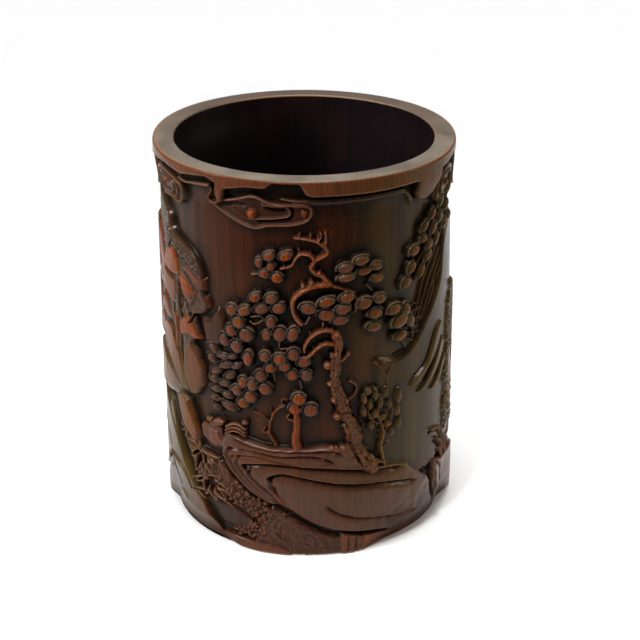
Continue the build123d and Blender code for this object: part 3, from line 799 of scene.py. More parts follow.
def left_cliff(wall):
    """The tall crag at the left: polished facets between rough bands, with a deep crevice."""
    mass = [(-112, 56), (-114, 100), (-106, 140), (-84, 150), (-72, 149), (-62, 143), (-58, 137),
            (-50, 134.4), (-42, 130.4), (-38.2, 124), (-38.2, 117), (-35.8, 111.4), (-38.8, 107),
            (-43.2, 104.6), (-41, 99), (-41, 95), (-45, 92.6), (-41.6, 89), (-40.4, 82), (-40.6, 74),
            (-45, 67.6), (-52.6, 66), (-56, 64.6), (-66, 58), (-84, 52)]
    wall.plate(moved(mass, -3), 2.7, 1.2, 0.08, grain=0.2)
    rough_band = [(-61, 141), (-58, 136.6), (-50.2, 134), (-42.2, 130), (-38.8, 124.4), (-43, 124.6),
                  (-49.7, 127.4), (-56.4, 131.4), (-63, 134)]
    rough_band = curve(moved(rough_band, -3.5, -1), True)
    wall.plate(rough_band, 3.3, 1.0, 0.0, grain=0.9)
    wall.pebbles(rough_band, 1.5, 3.4, 22, 0.05, 1.3, -35)
    facets = (
        (4.1, 1.0, [(-63.7, 128.4), (-56.6, 131), (-53.8, 125.5), (-53.8, 119.6), (-57, 117.8), (-62, 117.6),
                    (-68, 119.8)]),
        (3.7, 0.5, [(-68.4, 118.6), (-61, 116.8), (-56.8, 116.6), (-57, 110), (-58.6, 105), (-63, 104.4),
                    (-70.5, 108.6)]),
        (3.3, 0.4, [(-52.4, 125.2), (-47, 127), (-43, 124.4), (-39, 122.4), (-39, 117.6), (-42.4, 116.4),
                    (-46, 119.4)]),
        (4.0, 0.95, [(-53, 122.6), (-47.2, 119.2), (-43, 115.6), (-47.4, 110.6), (-51.4, 112), (-53.4, 118)]),
        (2.6, 0.3, [(-43, 115), (-38.2, 115.2), (-36.4, 111.4), (-39.4, 107.8), (-44.6, 106.6),
                    (-45.6, 110.6)]),
        (4.0, 0.85, [(-54.6, 99.8), (-50.4, 103.6), (-46.8, 103), (-43.6, 99.6), (-41.6, 95.6), (-44.4, 94),
                     (-49.2, 94.6), (-54, 92)]),
        (3.7, 0.6, [(-60.8, 101), (-56, 101.6), (-55.8, 92), (-57, 84), (-60.6, 85.6)]),
        (4.1, 0.55, [(-71.9, 89.4), (-67.4, 93.2), (-61.4, 92.4), (-56.6, 83), (-54, 72), (-56.6, 66.6),
                     (-62, 72.6), (-68.6, 80)]),
        (3.8, 0.4, [(-71.6, 106), (-66, 104), (-62.2, 97), (-63.4, 94), (-69.6, 93.6), (-76, 96)]),
        (4.0, 0.6, [(-82, 134), (-72.6, 130), (-69.6, 119), (-72, 108), (-80, 107), (-88, 120)]),
        (4.1, 0.5, [(-92, 106), (-82, 105), (-77.6, 97), (-73.4, 89), (-70.4, 80), (-76, 75.6), (-86, 84),
                    (-95, 92)]),
        (3.5, 0.4, [(-53, 86), (-48.6, 93.6), (-43.8, 88), (-41.4, 82.6), (-41.6, 75), (-45.6, 69),
                    (-51.4, 68.6), (-53.4, 78)]),
        (3.9, 0.4, [(-84, 74), (-75.6, 74.4), (-67, 72.2), (-61, 69), (-57.4, 65.4), (-62, 61), (-74, 57),
                    (-86, 56)]),
        (4.0, 0.5, [(-60.2, 61.8), (-56.6, 64.2), (-52, 62.4), (-48.6, 57), (-46.4, 50.6), (-46.8, 46),
                    (-49, 44.2), (-52, 45.4), (-56.9, 50.4)]),
        (4.0, 0.5, [(-108, 134), (-94, 130), (-90, 116), (-96, 106), (-108, 110)]),
        (3.8, 0.4, [(-110, 100), (-100, 98), (-94, 88), (-90, 74), (-98, 62), (-110, 66)]),
    )
    for level, warm, outline in facets:
        middle = np.mean(outline, 0)
        wider, taller, edge = (0.14, 0.1, 2.2) if middle[0] > SIDE else (0.55, 0.4, 5.5)
        grown = [(b - 1.6 + wider * (b - middle[0]), z + taller * (z - middle[1])) for b, z in outline]
        wall.plate(straight(grown, True), level, edge, warm, tilt=(-0.09, 0.03))
    for points in ([(-79, 140), (-81, 128), (-78, 116)], [(-101, 128), (-97, 116), (-100, 102)],
                   [(-89, 105), (-85, 92), (-88, 80)], [(-105, 94), (-102, 80), (-105, 66)],
                   [(-93, 76), (-86, 68), (-84, 60)]):
        wall.groove(points, 1.8, 2.2)
    wall.roughen([(-112, 58), (-114, 138), (-90, 146), (-76, 130), (-74, 60)], 0.3, 4)
    for points in ([(-42.6, 116), (-44, 112.7), (-46.4, 108.4), (-48.4, 104.4)],
                   [(-48.6, 104), (-45.4, 100.6), (-42, 95.8)], [(-60.6, 129), (-58.6, 124), (-59, 118.4)]):
        wall.ridge(moved(points, -2.4), 1.2, 4.1, 0.8, warm=0.85)
    for width, points in ((2.4, [(-55.6, 119), (-54.8, 112.8), (-57, 105.4), (-55.6, 101)]),
                          (2.0, [(-53.6, 110), (-50.4, 107), (-49.6, 104.4)]),
                          (1.3, [(-56.4, 92), (-56.8, 84), (-53.8, 73), (-52.8, 66.6)]),
                          (1.6, [(-66, 134), (-64, 131), (-66.6, 126)]),
                          (1.5, [(-62.4, 103.6), (-62, 98), (-60.8, 94)]),
                          (1.2, [(-43.4, 105.6), (-47, 105), (-49, 101)])):
        wall.groove(points, width, 2.4, 0.0)
    gully = [(-57.6, 117), (-54.4, 114), (-53.4, 109), (-55.6, 103), (-58.2, 104), (-58.2, 111)]
    wall.hollow(gully, 1.5, 0.8, 0.0)
    wall.pebbles(gully, 1.7, 2.6, 21, 0.1)


def right_side(wall):
    """The long slopes and falling lines at the right, and the crag and the boulder at its edge."""
    slope = [(28.6, 91.9), (37.6, 89.8), (46.2, 92.3), (54.1, 100.6), (62, 109), (66, 116), (69, 132),
             (82, 140), (96, 120), (94, 60), (90, 36), (70, 26), (50, 28), (37, 36), (31, 48), (30, 70),
             (28.6, 84)]
    wall.plate(slope, 1.9, 2.6, 0.12, tilt=(0.022, 0))
    falls = (
        [(47.4, 103), (49.6, 110), (53.6, 121), (61, 128.6), (68, 134)],
        [(49.4, 101.6), (52.4, 109.6), (57.4, 119), (66, 128)],
        [(51.6, 101.4), (55.6, 108.6), (60.6, 116), (67, 123)],
        [(53.4, 101.6), (58.6, 108), (64, 114), (68, 119)],
    )
    for points in falls:
        wall.ridge(points, 1.5, 1.5, 1.1, warm=0.45)
    wall.groove([(37.6, 90.6), (46.2, 93), (53.6, 101), (61, 109.6), (65.4, 117)], 1.3, 0.8, 0.0)
    blades = (
        [(45, 73.6), (48.6, 77.6), (54.6, 80.6), (58.4, 86.4), (62.4, 93), (67.6, 95.4), (66.6, 88),
         (62, 81.6), (55, 76.4), (49, 73)],
        [(49, 69), (54.6, 72.6), (61, 78.4), (67, 86), (71, 85), (68.6, 78), (62, 72), (55, 68.6)],
        [(58, 66.4), (64, 70), (70.6, 76), (74, 74), (68, 68), (62, 65.4)],
    )
    for points in blades:
        wall.plate(points, 3.3, 1.2, 0.2)
        wall.groove(points[1:5], 0.9, 0.9, 0.0)
    cliff(wall, 87, 24, 92, 41)
    edge = [(74, 36), (72.4, 50), (74, 58), (72.6, 70), (75, 79), (73.6, 90), (77, 99), (80, 108), (86, 106),
            (88, 36)]
    wall.plate(straight(edge, True), 3.2, 1.0, 0.05, grain=0.8)
    wall.pebbles(straight(edge, True), 3.4, 4.1, 41, 0.12, 1.5, 80)
    for points in ([(61.6, 44.6), (66, 43.4), (71, 40), (74, 33), (75, 24)],
                   [(66, 38), (71, 33), (74, 24), (77, 14)], [(70, 31), (74, 22), (78, 11)],
                   [(75, 34), (79, 24), (81, 12)]):
        wall.ridge(points, 1.7, 3.9, 0.8, warm=0.35)
        wall.groove(moved(points, -1.5, -0.8), 1.2, 1.2, 0.0)
    wall.groove([(56, 28), (62.6, 22.6), (66, 15), (68.6, 8), (70, 0)], 2.2, 2.6, 0.0)
    boulder = [(63.6, 27), (66, 28), (72, 25), (82, 22), (94, 20), (98, -4), (71, -4), (69.6, 8), (66.4, 16)]
    wall.plate(boulder, 3.8, 1.6, 0.3)
    for points in ([(63, 24), (68, 18), (71, 8), (72, -2)], [(66, 26), (73, 18), (77, 6)]):
        wall.groove(points, 1.3, 1.6, 0.0)
    needles = (((44, 110.4), (49.4, 110)), ((46, 107.4), (51.6, 107)), ((45.4, 104), (51.8, 103)),
               ((45.6, 101), (51.4, 99.4)), ((44.6, 98.4), (51, 96.8)), ((42.6, 97), (47.6, 93.6)),
               ((40.4, 97), (43.4, 92.4)), ((46.6, 100), (47.4, 95)))
    for points in needles:
        wall.ridge(straight(points), 0.8, 2.2, 0.5, warm=0.3)


# ---- the back, in the same manner ----
def back_pine(wall):
    """A tall pine with flat crowns at the ends of its boughs."""
    limbs = (
        (8.0, 4.0, 4.0, [(176, 38), (180, 48), (182, 60), (179, 72), (178, 82), (182, 94), (185, 108)]),
        (4.0, 1.8, 3.6, [(179, 82), (172, 90), (168, 100), (170, 113), (172, 126)]),
        (3.4, 1.6, 3.5, [(184, 104), (192, 110), (203, 114)]),
        (3.4, 1.6, 3.4, [(181, 66), (190, 74), (196, 84), (208, 86)]),
        (3.0, 1.4, 3.3, [(179, 84), (166, 92), (158, 108)]),
        (3.0, 1.0, 3.3, [(185, 108), (188, 120), (184, 132), (188, 140)]),
        (1.6, 0.8, 2.8, [(188, 120), (194, 130), (192, 137)]),
    )
    boughs(wall, limbs, 0.75, 0.45)
    for shift in (-1.4, 0.3, 1.6):
        furrow = [(177, 42), (181, 56), (179, 74), (180, 92)]
        wall.groove(moved(furrow, shift), 0.9, 0.7)
    for bearing, up in ((184, 62), (176.6, 76), (184.6, 96), (181, 50)):
        burr(wall, bearing, up, 1.8, 1.4)
    crowns = ((172, 129, 22, 13), (203, 116.5, 22, 13), (159, 112, 20, 12), (188.5, 100, 17, 10),
              (209, 88, 18, 11), (193, 138, 12, 8), (158, 94, 12, 8))
    for seed, (bearing, up, width, rise) in enumerate(crowns):
        crown(wall, bearing, up, width, rise, 40 + seed)


def back_rocks(wall):
    """The shelf that the back's pine stands on, with moss at both its ends."""
    shelf = [(136, 3), (134, 20), (137, 32), (146, 43), (154, 41), (162, 40), (172, 44), (182, 46.4),
             (190, 42), (198, 37), (206, 41), (213, 45.6), (219, 38), (224, 27), (226, 10), (225, 3)]
    wall.plate(shelf, 3.4, 2.4, 0.4)
    for drop, fade, points in (
        (2.0, 2.0, [(139, 31), (147, 39), (156, 36.6), (166, 37), (176, 41), (184, 42), (194, 35.6)]),
        (2.1, 2.2, [(140, 22), (148, 30.6), (158, 28.6), (170, 30), (182, 34), (194, 27.6), (206, 24)]),
        (1.7, 2.2, [(142, 13), (152, 20), (164, 19), (178, 23), (190, 19), (204, 14), (216, 12)]),
        (1.7, 2.0, [(200, 32), (208, 36), (214, 39), (219, 31), (221, 20)]),
        (1.2, 2.0, [(146, 6), (158, 10.6), (172, 10), (188, 12), (204, 6)]),
    ):
        wall.step(points, drop, fade, 0.45)
    wall.roughen(shelf, 0.16, 2)
    wall.pebbles([(134, 30), (139, 36), (136, 44), (128, 40), (126, 28)], 2.1, 3.2, 51, 0.3)
    wall.pebbles([(222, 30), (228, 38), (234, 34), (236, 22), (228, 18)], 2.1, 3.2, 52, 0.3)


def back_scene(wall):
    """Crags, banks, bamboo and wisps of cloud, which fill the wall between the two pines."""
    cliff(wall, 116, 40, 94, 61)
    cliff(wall, 244, 42, 92, 62, True)
    cliff(wall, 132, 44, 58, 63, True)
    cliff(wall, 229, 44, 60, 64)
    bank(wall, 92, 4, 44, 20)
    bank(wall, 118, 3, 46, 24, True)
    bank(wall, 244, 4, 46, 24)
    bank(wall, 264, 3, 36, 18, True)
    for bearing, up, turns in ((102, 34, (-150, -110, -80, -50, -20, 20)),
                               (150, 55, (-60, -30, 0, 30, 150, 190)),
                               (232, 50, (-140, -105, -75, -45, -15, 30)),
                               (254, 30, (-160, -120, -90, -60, -25))):
        spray(wall, bearing, up, 11, turns)
    for points in ([(92, 96), (99, 100), (106, 96)], [(258, 100), (266, 104), (273, 99)]):
        wall.ridge(points, 2.4, 2.4, 0.9, warm=0.3)


def carve():
    """Everything on the wall, from what lies behind to what lies in front, then softened a little."""
    wall = Wall()
    wall.lift += 0.12 * wall.noise(40, 14, 3)
    back_scene(wall)
    back_rocks(wall)
    back_pine(wall)
    right_side(wall)
    left_ground(wall)
    left_cliff(wall)
    left_foliage(wall)
    left_rocks(wall)
    front_ground(wall)
    front_ledge(wall)
    front_bamboo(wall)
    side_clouds(wall)
    front_cloud(wall)
    rim(wall)
    front_pine(wall)
    front_shrub(wall)
    front_tufts(wall)
    wall.lift = np.minimum(wall.blurred(wall.lift, handling), relief_depth + proudest)
    wall.warm = wall.blurred(wall.warm, 0.3)
    relieve_edges(wall)
    return wall


def relieve_edges(wall):
    """The top rows meet the rim's rounding at the skin. The foot is worn back at its left and right, and its
    lowest rows stay close to the skin, so that the pot stands true."""
    top = ease((wall.z - (height - 1.3)) / 0.5)[:, None]
    wall.lift = wall.lift * (1 - top) + relief_depth * top
    worn_height, band_height = 28, 3.5
    worn_left = 1.1 * ease((wall.bearing + 90) / 16) * ease((-18 - wall.bearing) / 22)
    worn_right = 1.3 * ease((wall.bearing - 14) / 26) * ease((92 - wall.bearing) / 16)
    worn = worn_left + worn_right
    wall.lift -= 2.2 * worn * ease(1 - wall.z / worn_height)[:, None]
    wall.lift = np.clip(wall.lift, -1.8, relief_depth - 4.6 * worn * ease(1 - wall.z / 16)[:, None])
    foot = ease((band_height - wall.z) / band_height)[:, None]
    wall.lift = wall.lift * (1 - foot) + np.clip(wall.lift, 1.6 - 2.8 * worn, 3.4) * foot


# ---- rolling the wall up ----
def section():
    """The wall's section past the carved face: over the rim, down the well, round the floor's rebate and
    across the underside. Each point is (radius, height, share of the outside's unevenness, material slot)."""
    points = []
    for turn, slot in ((22.5, SKIN), (45, SKIN), (67.5, CUT), (90, CUT)):
        a = math.radians(turn)
        inwards, down = rim_round * (1 - math.cos(a)), rim_round * (1 - math.sin(a))
        points.append((skin_radius - inwards, height - down, 1, slot))
    for share in np.linspace(0.12, 0.88, 7):
        points.append((skin_radius - rim_round - share * (rim_width - 2 * rim_round), height, 1, CUT))
    for turn, slot in ((0, CUT), (30, CUT), (60, CUT), (90, WELL)):
        a = math.radians(turn)
        outwards, down = rim_round * (1 - math.sin(a)), rim_round * (1 - math.cos(a))
        points.append((well_radius + outwards, height - down, 1, slot))
    for z in np.linspace(height - 3, floor_top + 3, 38):
        points.append((well_radius, z, 1, WELL))
    points.append((well_radius, floor_top, 0, WELL))
    points.append((rebate_radius, floor_top, 0, CUT))
    points.append((rebate_radius, edge_break, 0, CUT))
    for inset in (0, 1.2, 2.4):
        points.append((rebate_radius + edge_break + inset, 0, 0, CUT))
    return np.array(points)


def laid_out(bearing, z):
    """Where a place in the drawing comes on the wall. The front is drawn as it looks from close by, where the
    sides close up towards the foot and the middle seems higher than it is."""
    widest = 78  # the bearing past which nothing is seen from the front
    closing = 6.4  # degrees between the foot and the rim, at the sides
    raised, lowered = 4, 2.5  # mm, at the foot of the sides and half way up
    off = np.minimum(np.abs(bearing), widest) / 60
    seen = 1 - ease((np.abs(bearing) - widest) / 40)
    held = seen * ease((z - wall_foot) / 13) * ease((wall_top - z) / 5)
    turn = np.sign(bearing) * closing * off**2 * (z - 16 - 78 * off) / 160 - 0.5
    lift = raised * off**2.8 * (1 - z / 140) - 1.8 * z / height - lowered * np.sin(math.pi * z / height)
    return bearing + held * turn, z + held * lift


def rolled(wall):
    """Every vertex of the wall, as rows by columns by xyz in metres, with the normals to match."""
    even = ((np.arange(COLUMNS) + COLUMNS / 2) % COLUMNS - COLUMNS / 2) * 360 / COLUMNS
    bearing, z = laid_out(*np.meshgrid(even, wall.z))
    closing = section()
    turns = np.radians(foot_turns)
    foot_z = foot_round * (1 - np.cos(turns))
    plain = np.ones((len(closing) + len(turns), 1)) * even
    bearing = np.radians(np.vstack((bearing, plain)))
    z = np.vstack((z, closing[:, [1]] * np.ones(COLUMNS), foot_z[:, None] * np.ones(COLUMNS)))
    wave = out_of_round * (0.5 * np.cos(2 * bearing + 0.7) + 0.3 * np.cos(3 * bearing + 2) - 0.5)
    flare = (foot_shift * np.sin(bearing) + foot_swell * np.sin(bearing) ** 2) * (1 - z / height)
    # The rim is slightly squarish, and wider from side to side than from front to back.
    swell = rim_wider - 0.4 * np.sin(bearing) - rim_square * np.cos(4 * bearing)
    rim_swell = np.sin(bearing) ** 2 * swell * ease((z - 150) / 10)
    rest = slice(ROWS, ROWS + len(closing))
    outer = ground_radius + wall.lift + (wave + flare + rim_swell)[:ROWS]
    inner = closing[:, [0]] + wave[rest] * closing[:, [2]] + rim_swell[rest]
    foot = outer[0] - foot_round * (1 - np.sin(turns))[:, None]
    radius = np.vstack((outer, inner, foot))
    places = np.dstack((radius * np.sin(bearing), -radius * np.cos(bearing), z))
    round_wall = np.roll(places, -1, 1) - np.roll(places, 1, 1)
    along = np.roll(places, -1, 0) - np.roll(places, 1, 0)
    normals = np.cross(round_wall, along)
    normals /= np.linalg.norm(normals, axis=2, keepdims=True)
    return places * MM, normals


def lay_flat(mesh, places, quads):
    """Texture places for a stave: across it in one direction, and once round its section in the other."""
    rows, count = places.shape[:2]
    steps = np.linalg.norm(np.roll(places[:, 0], -1, 0) - places[:, 0], axis=1)
    up = np.concatenate(([0], np.cumsum(steps))) / steps.sum()
    row, column = quads[:, 0] // count, quads[:, 0] % count
    left, right = 0.02 + 0.96 * column / (count - 1), 0.02 + 0.96 * (column + 1) / (count - 1)
    low, high = 0.01 + 0.96 * up[row], 0.01 + 0.96 * up[row + 1]
    places_of_quads = np.stack((left, low, right, low, right, high, left, high), 1).ravel()
    ends = np.tile((0.01, 0.99), 2 * rows)
    layer = mesh.uv_layers.new(name="OFBake")
    layer.uv.foreach_set("vector", np.concatenate((places_of_quads, ends)))


def make_stave(name, first, places, normals, fields, materials):
    """One upright stave of the wall, closed at both sides."""
    rows = places.shape[0]
    columns = np.arange(first, first + columns_per_stave + 1) % COLUMNS
    count = len(columns)
    corners = places[:, columns].reshape(-1, 3)
    r, c = np.meshgrid(np.arange(rows), np.arange(count - 1), indexing="ij")
    up = (r + 1) % rows
    quads = np.stack((r * count + c, r * count + c + 1, up * count + c + 1, up * count + c), -1)
    quads = quads.reshape(-1, 4)
    left_side = (np.arange(rows) * count).tolist()
    other_side = (np.arange(rows)[::-1] * count + count - 1).tolist()
    mesh = bpy.data.meshes.new(name)
    mesh.from_pydata(corners.tolist(), [], quads.tolist() + [left_side, other_side])
    for field_name, (field, elsewhere) in fields.items():
        values = np.full((rows, count), elsewhere, np.float32)
        values[:ROWS] = field[:, columns]
        mesh.attributes.new(field_name, "FLOAT", "POINT").data.foreach_set("value", values.ravel())
    for material in materials:
        mesh.materials.append(material)
    lay_flat(mesh, corners.reshape(rows, count, 3), quads)
    row_slots = np.concatenate((np.full(ROWS, SKIN), section()[:, 3], np.full(len(foot_turns), CUT)))
    slots = np.concatenate((np.repeat(row_slots, count - 1), (SKIN, SKIN))).astype(np.int32)
    mesh.polygons.foreach_set("material_index", slots)
    mesh.polygons.foreach_set("use_smooth", np.ones(len(mesh.polygons), bool))
    mesh.normals_split_custom_set_from_vertices(normals[:, columns].reshape(-1, 3).tolist())
    stave = bpy.data.objects.new(name, mesh)
    bpy.context.scene.collection.objects.link(stave)
    return stave


# ---- materials ----
def node(tree, kind, settings=None, **inputs):
    """A new shader node. An input is a number, a colour or another node's output."""
    made = tree.nodes.new("ShaderNode" + kind)
    for name, value in (settings or {}).items():
        setattr(made, name, value)
    for name, value in inputs.items():
        feed(tree, made.inputs[name], value)
    return made


def feed(tree, socket, value):
    if isinstance(value, bpy.types.NodeSocket):
        tree.links.new(value, socket)
    else:
        socket.default_value = (*value, 1) if socket.type == "RGBA" else value


def mixed(tree, share, a, b):
    made = tree.nodes.new("ShaderNodeMix")
    made.data_type = "RGBA"
    for index, value in ((0, share), (6, a), (7, b)):
        feed(tree, made.inputs[index], value)
    return made.outputs[2]


def sums(tree, operation, a, b=0.0):
    made = tree.nodes.new("ShaderNodeMath")
    made.operation = operation
    for socket, value in zip(made.inputs, (a, b)):
        feed(tree, socket, value)
    return made.outputs[0]


def spread(tree, value, low, high, to_low=0.0, to_high=1.0):
    """A value moved from one range to another, and held inside it."""
    made = node(tree, "MapRange", None, Value=value)
    for name, number in (("From Min", low), ("From Max", high), ("To Min", to_low), ("To Max", to_high)):
        made.inputs[name].default_value = number
    return made.outputs[0]


def between(tree, value, low, high, a, b):
    """A colour that turns from a to b as a value goes from low to high."""
    return mixed(tree, spread(tree, value, low, high), a, b)


def stretched(tree, scale):
    """Object coordinates with a scale for each axis. A small one draws a noise out along that axis, as fibres
    are along the culm."""
    place = node(tree, "TexCoord").outputs["Object"]
    return node(tree, "Mapping", None, Vector=place, Scale=scale).outputs[0]


def noise(tree, place, scale, detail=4.0, roughness=0.55):
    return node(tree, "TexNoise", None, Vector=place, Scale=scale, Detail=detail,
                Roughness=roughness).outputs[0]


def attribute(tree, name):
    return node(tree, "Attribute", {"attribute_name": name}).outputs["Fac"]


def bumped(tree, shader, height_field, distance, strength):
    bump = node(tree, "Bump", None, Height=height_field, Distance=distance, Strength=strength)
    tree.links.new(bump.outputs[0], shader.inputs["Normal"])


def blank(name):
    material = bpy.data.materials.new(name)
    material.use_nodes = True
    tree = material.node_tree
    return material, tree, tree.nodes["Principled BSDF"]


def carved_material():
    """Old bamboo under wax: painted shade in the cuts, red where the skin is left, greenish at the sides,
    ashen on the broad carved faces, and pale on raised edges, partly from wear and partly as painted
    highlight."""
    material, tree, shader = blank("carved_bamboo")
    field_names = ("warm", "cavity", "lift", "olive", "dirt_and_shadow", "lip")
    warm, cavity, lift, olive, dirt_and_shadow, lip = (attribute(tree, name) for name in field_names)
    fibres = noise(tree, stretched(tree, (1, 1, 0.035)), 1500, 5, 0.6)
    bands = noise(tree, stretched(tree, (1, 1, 0.05)), 170, 3)
    clouds = noise(tree, stretched(tree, (1, 1, 1)), 38, 4)
    specks = noise(tree, stretched(tree, (1, 1, 1)), 1300, 2)
    red_ground = between(tree, bands, 0.38, 0.68, (0.008, 0.0028, 0.0018), (0.038, 0.0085, 0.0036))
    green_ground = between(tree, bands, 0.38, 0.68, (0.012, 0.0080, 0.0018), (0.042, 0.0270, 0.0044))
    greening = sums(tree, "MULTIPLY", olive, spread(tree, clouds, 0.3, 0.62, 0.6, 1))
    ground = mixed(tree, greening, red_ground, green_ground)
    ashen = mixed(tree, olive, (0.056, 0.034, 0.029), (0.053, 0.038, 0.010))
    plain = mixed(tree, spread(tree, lift, 0.25, 0.85, 0, 0.85), ground, ashen)
    red_skin = between(tree, fibres, 0.35, 0.7, (0.085, 0.0120, 0.0012), (0.290, 0.052, 0.003))
    brown_skin = between(tree, fibres, 0.35, 0.7, (0.050, 0.019, 0.0040), (0.105, 0.043, 0.0085))
    skin = mixed(tree, sums(tree, "MULTIPLY", olive, 0.5), red_skin, brown_skin)
    glow = sums(tree, "MULTIPLY", warm, spread(tree, lift, 0.2, 0.9, 0.35, 1.0))
    glowing = mixed(tree, glow, plain, skin)
    # Where warm is under 0 the colour is painted near black, as shade.
    colour = mixed(tree, spread(tree, warm, painted_shade_warmth, 0, 0.7, 0), glowing, (0.012, 0.0065, 0.0045))
    # Painted shadow: the ground close under the raised carving is darkened; the same field makes it rougher,
    # as dirt.
    shaded = mixed(tree, spread(tree, dirt_and_shadow, 0.2, 1.7, 0, 0.75), colour, (0.0065, 0.0042, 0.003))
    # Painted shade: the colour goes near black down in the cuts and creases.
    painted_recess_shade = mixed(tree, spread(tree, cavity, -0.75, 0.0, 0.95, 0), shaded, (0.0028, 0.0017, 0.0012))
    # Pale on raised edges and lips: partly wear, partly painted highlight.
    worn = mixed(tree, sums(tree, "MULTIPLY", spread(tree, lip, 0.3, 0.65, 0, 0.6),
                            spread(tree, clouds, 0.35, 0.6, 0.4, 1)), painted_recess_shade, (0.19, 0.112, 0.068))
    dusty = mixed(tree, spread(tree, specks, 0.68, 0.78, 0, 0.35), worn, (0.15, 0.09, 0.05))
    tree.links.new(dusty, shader.inputs["Base Color"])
    rough = sums(tree, "ADD", spread(tree, clouds, 0.3, 0.7, 0.23, 0.36), spread(tree, dirt_and_shadow, 0, 1.5, 0, 0.25))
    tree.links.new(rough, shader.inputs["Roughness"])
    shader.inputs["Specular IOR Level"].default_value = 0.11
    shader.inputs["Specular Tint"].default_value = (1, 0.74, 0.50, 1)
    shader.inputs["Coat Weight"].default_value = 0.09
    shader.inputs["Coat Roughness"].default_value = 0.12
    pits = noise(tree, stretched(tree, (1, 1, 0.5)), 900, 3)
    bumped(tree, shader, sums(tree, "ADD", fibres, sums(tree, "MULTIPLY", pits, 0.8)), 0.00014, 0.55)
    return material


def cut_material():
    """The sawn end of the culm: grey-brown, with the dark dots of the fibre bundles and worn edges."""
    material, tree, shader = blank("cut_bamboo")
    place = stretched(tree, (1, 1, 1))
    across, along, _ = node(tree, "SeparateXYZ", None, Vector=place).outputs
    radius = sums(tree, "SQRT", sums(tree, "ADD", sums(tree, "MULTIPLY", across, across),
                                     sums(tree, "MULTIPLY", along, along)))
    edge = sums(tree, "ABSOLUTE", sums(tree, "SUBTRACT", radius, (skin_radius + well_radius) / 2 * MM))
    dots = node(tree, "TexVoronoi", None, Vector=place, Scale=900.0).outputs["Distance"]
    clouds = noise(tree, place, 60, 4)
    fine = noise(tree, place, 1400, 3)
    base = between(tree, clouds, 0.35, 0.65, (0.082, 0.064, 0.048), (0.155, 0.127, 0.096))
    brown = mixed(tree, spread(tree, along, -0.02, 0.05, 0, 0.85), base, (0.062, 0.034, 0.022))
    dotted = mixed(tree, spread(tree, dots, 0.12, 0.34, 0.5, 0), brown, (0.050, 0.034, 0.025))
    rubbed = mixed(tree, spread(tree, edge, 0.0033, 0.0037, 0, 0.6), dotted, (0.17, 0.080, 0.036))
    tree.links.new(mixed(tree, spread(tree, fine, 0.5, 0.75, 0, 0.3), rubbed, (0.18, 0.145, 0.105)),
                   shader.inputs["Base Color"])
    tree.links.new(spread(tree, clouds, 0.3, 0.7, 0.38, 0.52), shader.inputs["Roughness"])
    bumped(tree, shader, sums(tree, "ADD", dots, sums(tree, "MULTIPLY", fine, 0.5)), 0.0001, 0.35)
    return material


def well_material():
    """The inside, blackened with lacquer that has a purple cast, over upright fibres, and painted darker as
    shade.
    """
    material, tree, shader = blank("well_lacquer_and_shade")
    fibres = noise(tree, stretched(tree, (1, 1, 0.03)), 420, 4)
    clouds = noise(tree, stretched(tree, (1, 1, 0.5)), 34, 4)
    # Near black: dark lacquer, with the shade down in the well painted in too.
    base = between(tree, fibres, 0.35, 0.7, (0.0030, 0.0014, 0.0018), (0.0070, 0.0020, 0.0034))
    tree.links.new(mixed(tree, spread(tree, clouds, 0.5, 0.72, 0, 0.7), base, (0.020, 0.0050, 0.0034)),
                   shader.inputs["Base Color"])
    tree.links.new(spread(tree, clouds, 0.3, 0.7, 0.5, 0.62), shader.inputs["Roughness"])
    shader.inputs["Specular IOR Level"].default_value = 0.14
    bumped(tree, shader, fibres, 0.0002, 0.25)
    return material


def floor_material():
    """Turned hardwood with a straight grain and faint rings from the lathe."""
    material, tree, shader = blank("floor_hardwood")
    grain = noise(tree, stretched(tree, (1, 0.06, 1)), 700, 5)
    rings = node(tree, "TexWave", {"wave_type": "RINGS", "rings_direction": "Z"},
                 Vector=stretched(tree, (1, 1, 1)), Scale=190.0, Distortion=0.6, Detail=2.0).outputs["Fac"]
    base = between(tree, grain, 0.35, 0.68, (0.018, 0.008, 0.005), (0.065, 0.028, 0.015))
    tree.links.new(mixed(tree, spread(tree, rings, 0.7, 1.0, 0, 0.3), base, (0.012, 0.006, 0.004)),
                   shader.inputs["Base Color"])
    tree.links.new(spread(tree, grain, 0.3, 0.7, 0.42, 0.58), shader.inputs["Roughness"])
    bumped(tree, shader, sums(tree, "ADD", grain, sums(tree, "MULTIPLY", rings, 0.5)), 0.00015, 0.4)
    return material


def seal_material():
    """Black-brown lacquer putty, brushed on, with a low gloss."""
    material, tree, shader = blank("lacquer_putty")
    brushed = noise(tree, stretched(tree, (1, 1, 0.4)), 260, 4)
    tree.links.new(between(tree, brushed, 0.35, 0.7, (0.008, 0.004, 0.004), (0.026, 0.011, 0.009)),
                   shader.inputs["Base Color"])
    tree.links.new(spread(tree, brushed, 0.3, 0.7, 0.22, 0.4), shader.inputs["Roughness"])
    bumped(tree, shader, brushed, 0.0003, 0.4)
    return material


# ---- the wall ----
wall = carve()
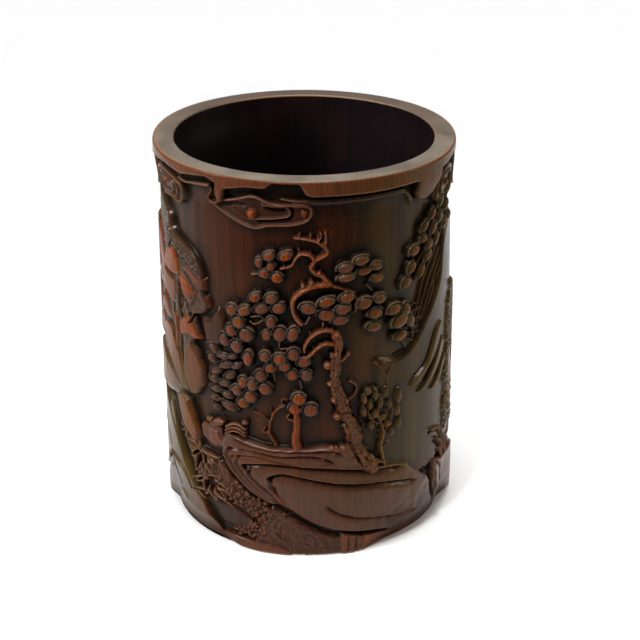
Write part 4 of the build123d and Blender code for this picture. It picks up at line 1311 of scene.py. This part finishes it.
# Each field has its values on the carved face, and the one value it has on the rim and in the well.
fields = {
    "warm": (wall.warm, rim_warm),
    # How far a place lies below its near surroundings: the cuts, where shade is painted.
    "cavity": (wall.lift - wall.blurred(wall.lift, 1.5), 0.0),
    "lift": (wall.lift / relief_depth, 1.0),
    "olive": (wall.olive(), 0.5),
    # How far the ground lies below the carving round it: for painted shadow, and for roughness as dirt.
    "dirt_and_shadow": (wall.blurred(wall.lift, 3.2) - wall.lift, 0.0),
    # How far a place stands above its near surroundings: the raised edges, painted pale as wear and as
    # highlight.
    "lip": (wall.lift - wall.blurred(wall.lift, 0.55), 0.0),
}
places, normals = rolled(wall)
outside = (carved_material(), cut_material(), well_material())
for number in range(STAVES):
    first_column = round((number - 0.5) * columns_per_stave)
    stave = make_stave(f"wall_{number:02d}", first_column, places, normals, fields, outside)
    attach(stave, "root")
    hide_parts("carved_culm")

for node_name, material in (("floor_disc", floor_material()), ("lacquer_seal", seal_material())):
    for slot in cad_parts[node_name].material_slots:
        slot.material = material


# ---- the studio ----
def make_floor():
    bpy.ops.mesh.primitive_plane_add(size=12)
    plane = bpy.context.object
    plane.name = "studio_floor"
    material, tree, shader = blank("studio_paper")
    shader.inputs["Base Color"].default_value = (0.86, 0.86, 0.86, 1)
    shader.inputs["Roughness"].default_value = 0.9
    plane.data.materials.append(material)


def make_light(name, place, aim, size, power, beam, colour=(1, 1, 1)):
    """A soft box with a grid on it, which keeps its light within this many degrees."""
    data = bpy.data.lights.new(name, "AREA")
    data.color = colour
    data.shape = "RECTANGLE"
    data.size, data.size_y = size
    data.energy = power
    data.spread = math.radians(beam)
    lamp = bpy.data.objects.new(name, data)
    lamp.location = place
    direction = Vector(aim) - Vector(place)
    lamp.rotation_euler = direction.to_track_quat("-Z", "Y").to_euler()
    bpy.context.scene.collection.objects.link(lamp)


def make_camera():
    """Looking down at the pot from a little over its rim."""
    data = bpy.data.cameras.new("camera")
    data.sensor_width = 36
    data.lens = 84
    data.shift_x = 0.0235
    data.shift_y = 0.003
    camera = bpy.data.objects.new("camera", data)
    camera.location = (0, -0.584, 0.354)
    camera.rotation_euler = (math.radians(90 - 25.1), 0, 0)
    bpy.context.scene.collection.objects.link(camera)
    bpy.context.scene.camera = camera


def make_world():
    world = bpy.data.worlds.new("studio")
    world.use_nodes = True
    world.node_tree.nodes["Background"].inputs["Color"].default_value = (1, 1, 1, 1)
    world.node_tree.nodes["Background"].inputs["Strength"].default_value = 0.2
    bpy.context.scene.world = world


make_floor()
middle = (0, 0, height / 2 * MM)
make_light("key_left", (-0.80, -0.27, 0.60), middle, (0.36, 0.5), 0.52, 26)
make_light("key_top", (-0.22, -0.40, 0.98), middle, (0.10, 0.10), 0.10, 26)
make_light("fill_right", (0.87, -0.04, 0.36), middle, (0.26, 0.5), 0.14, 26, (1, 0.88, 0.70))
make_light("overhead", (0, 0.46, 0.95), (0, 0.46, 0), (1.5, 1.4), 6.4, 25)
make_camera()
make_world()
bpy.context.scene.view_settings.view_transform = "Standard"
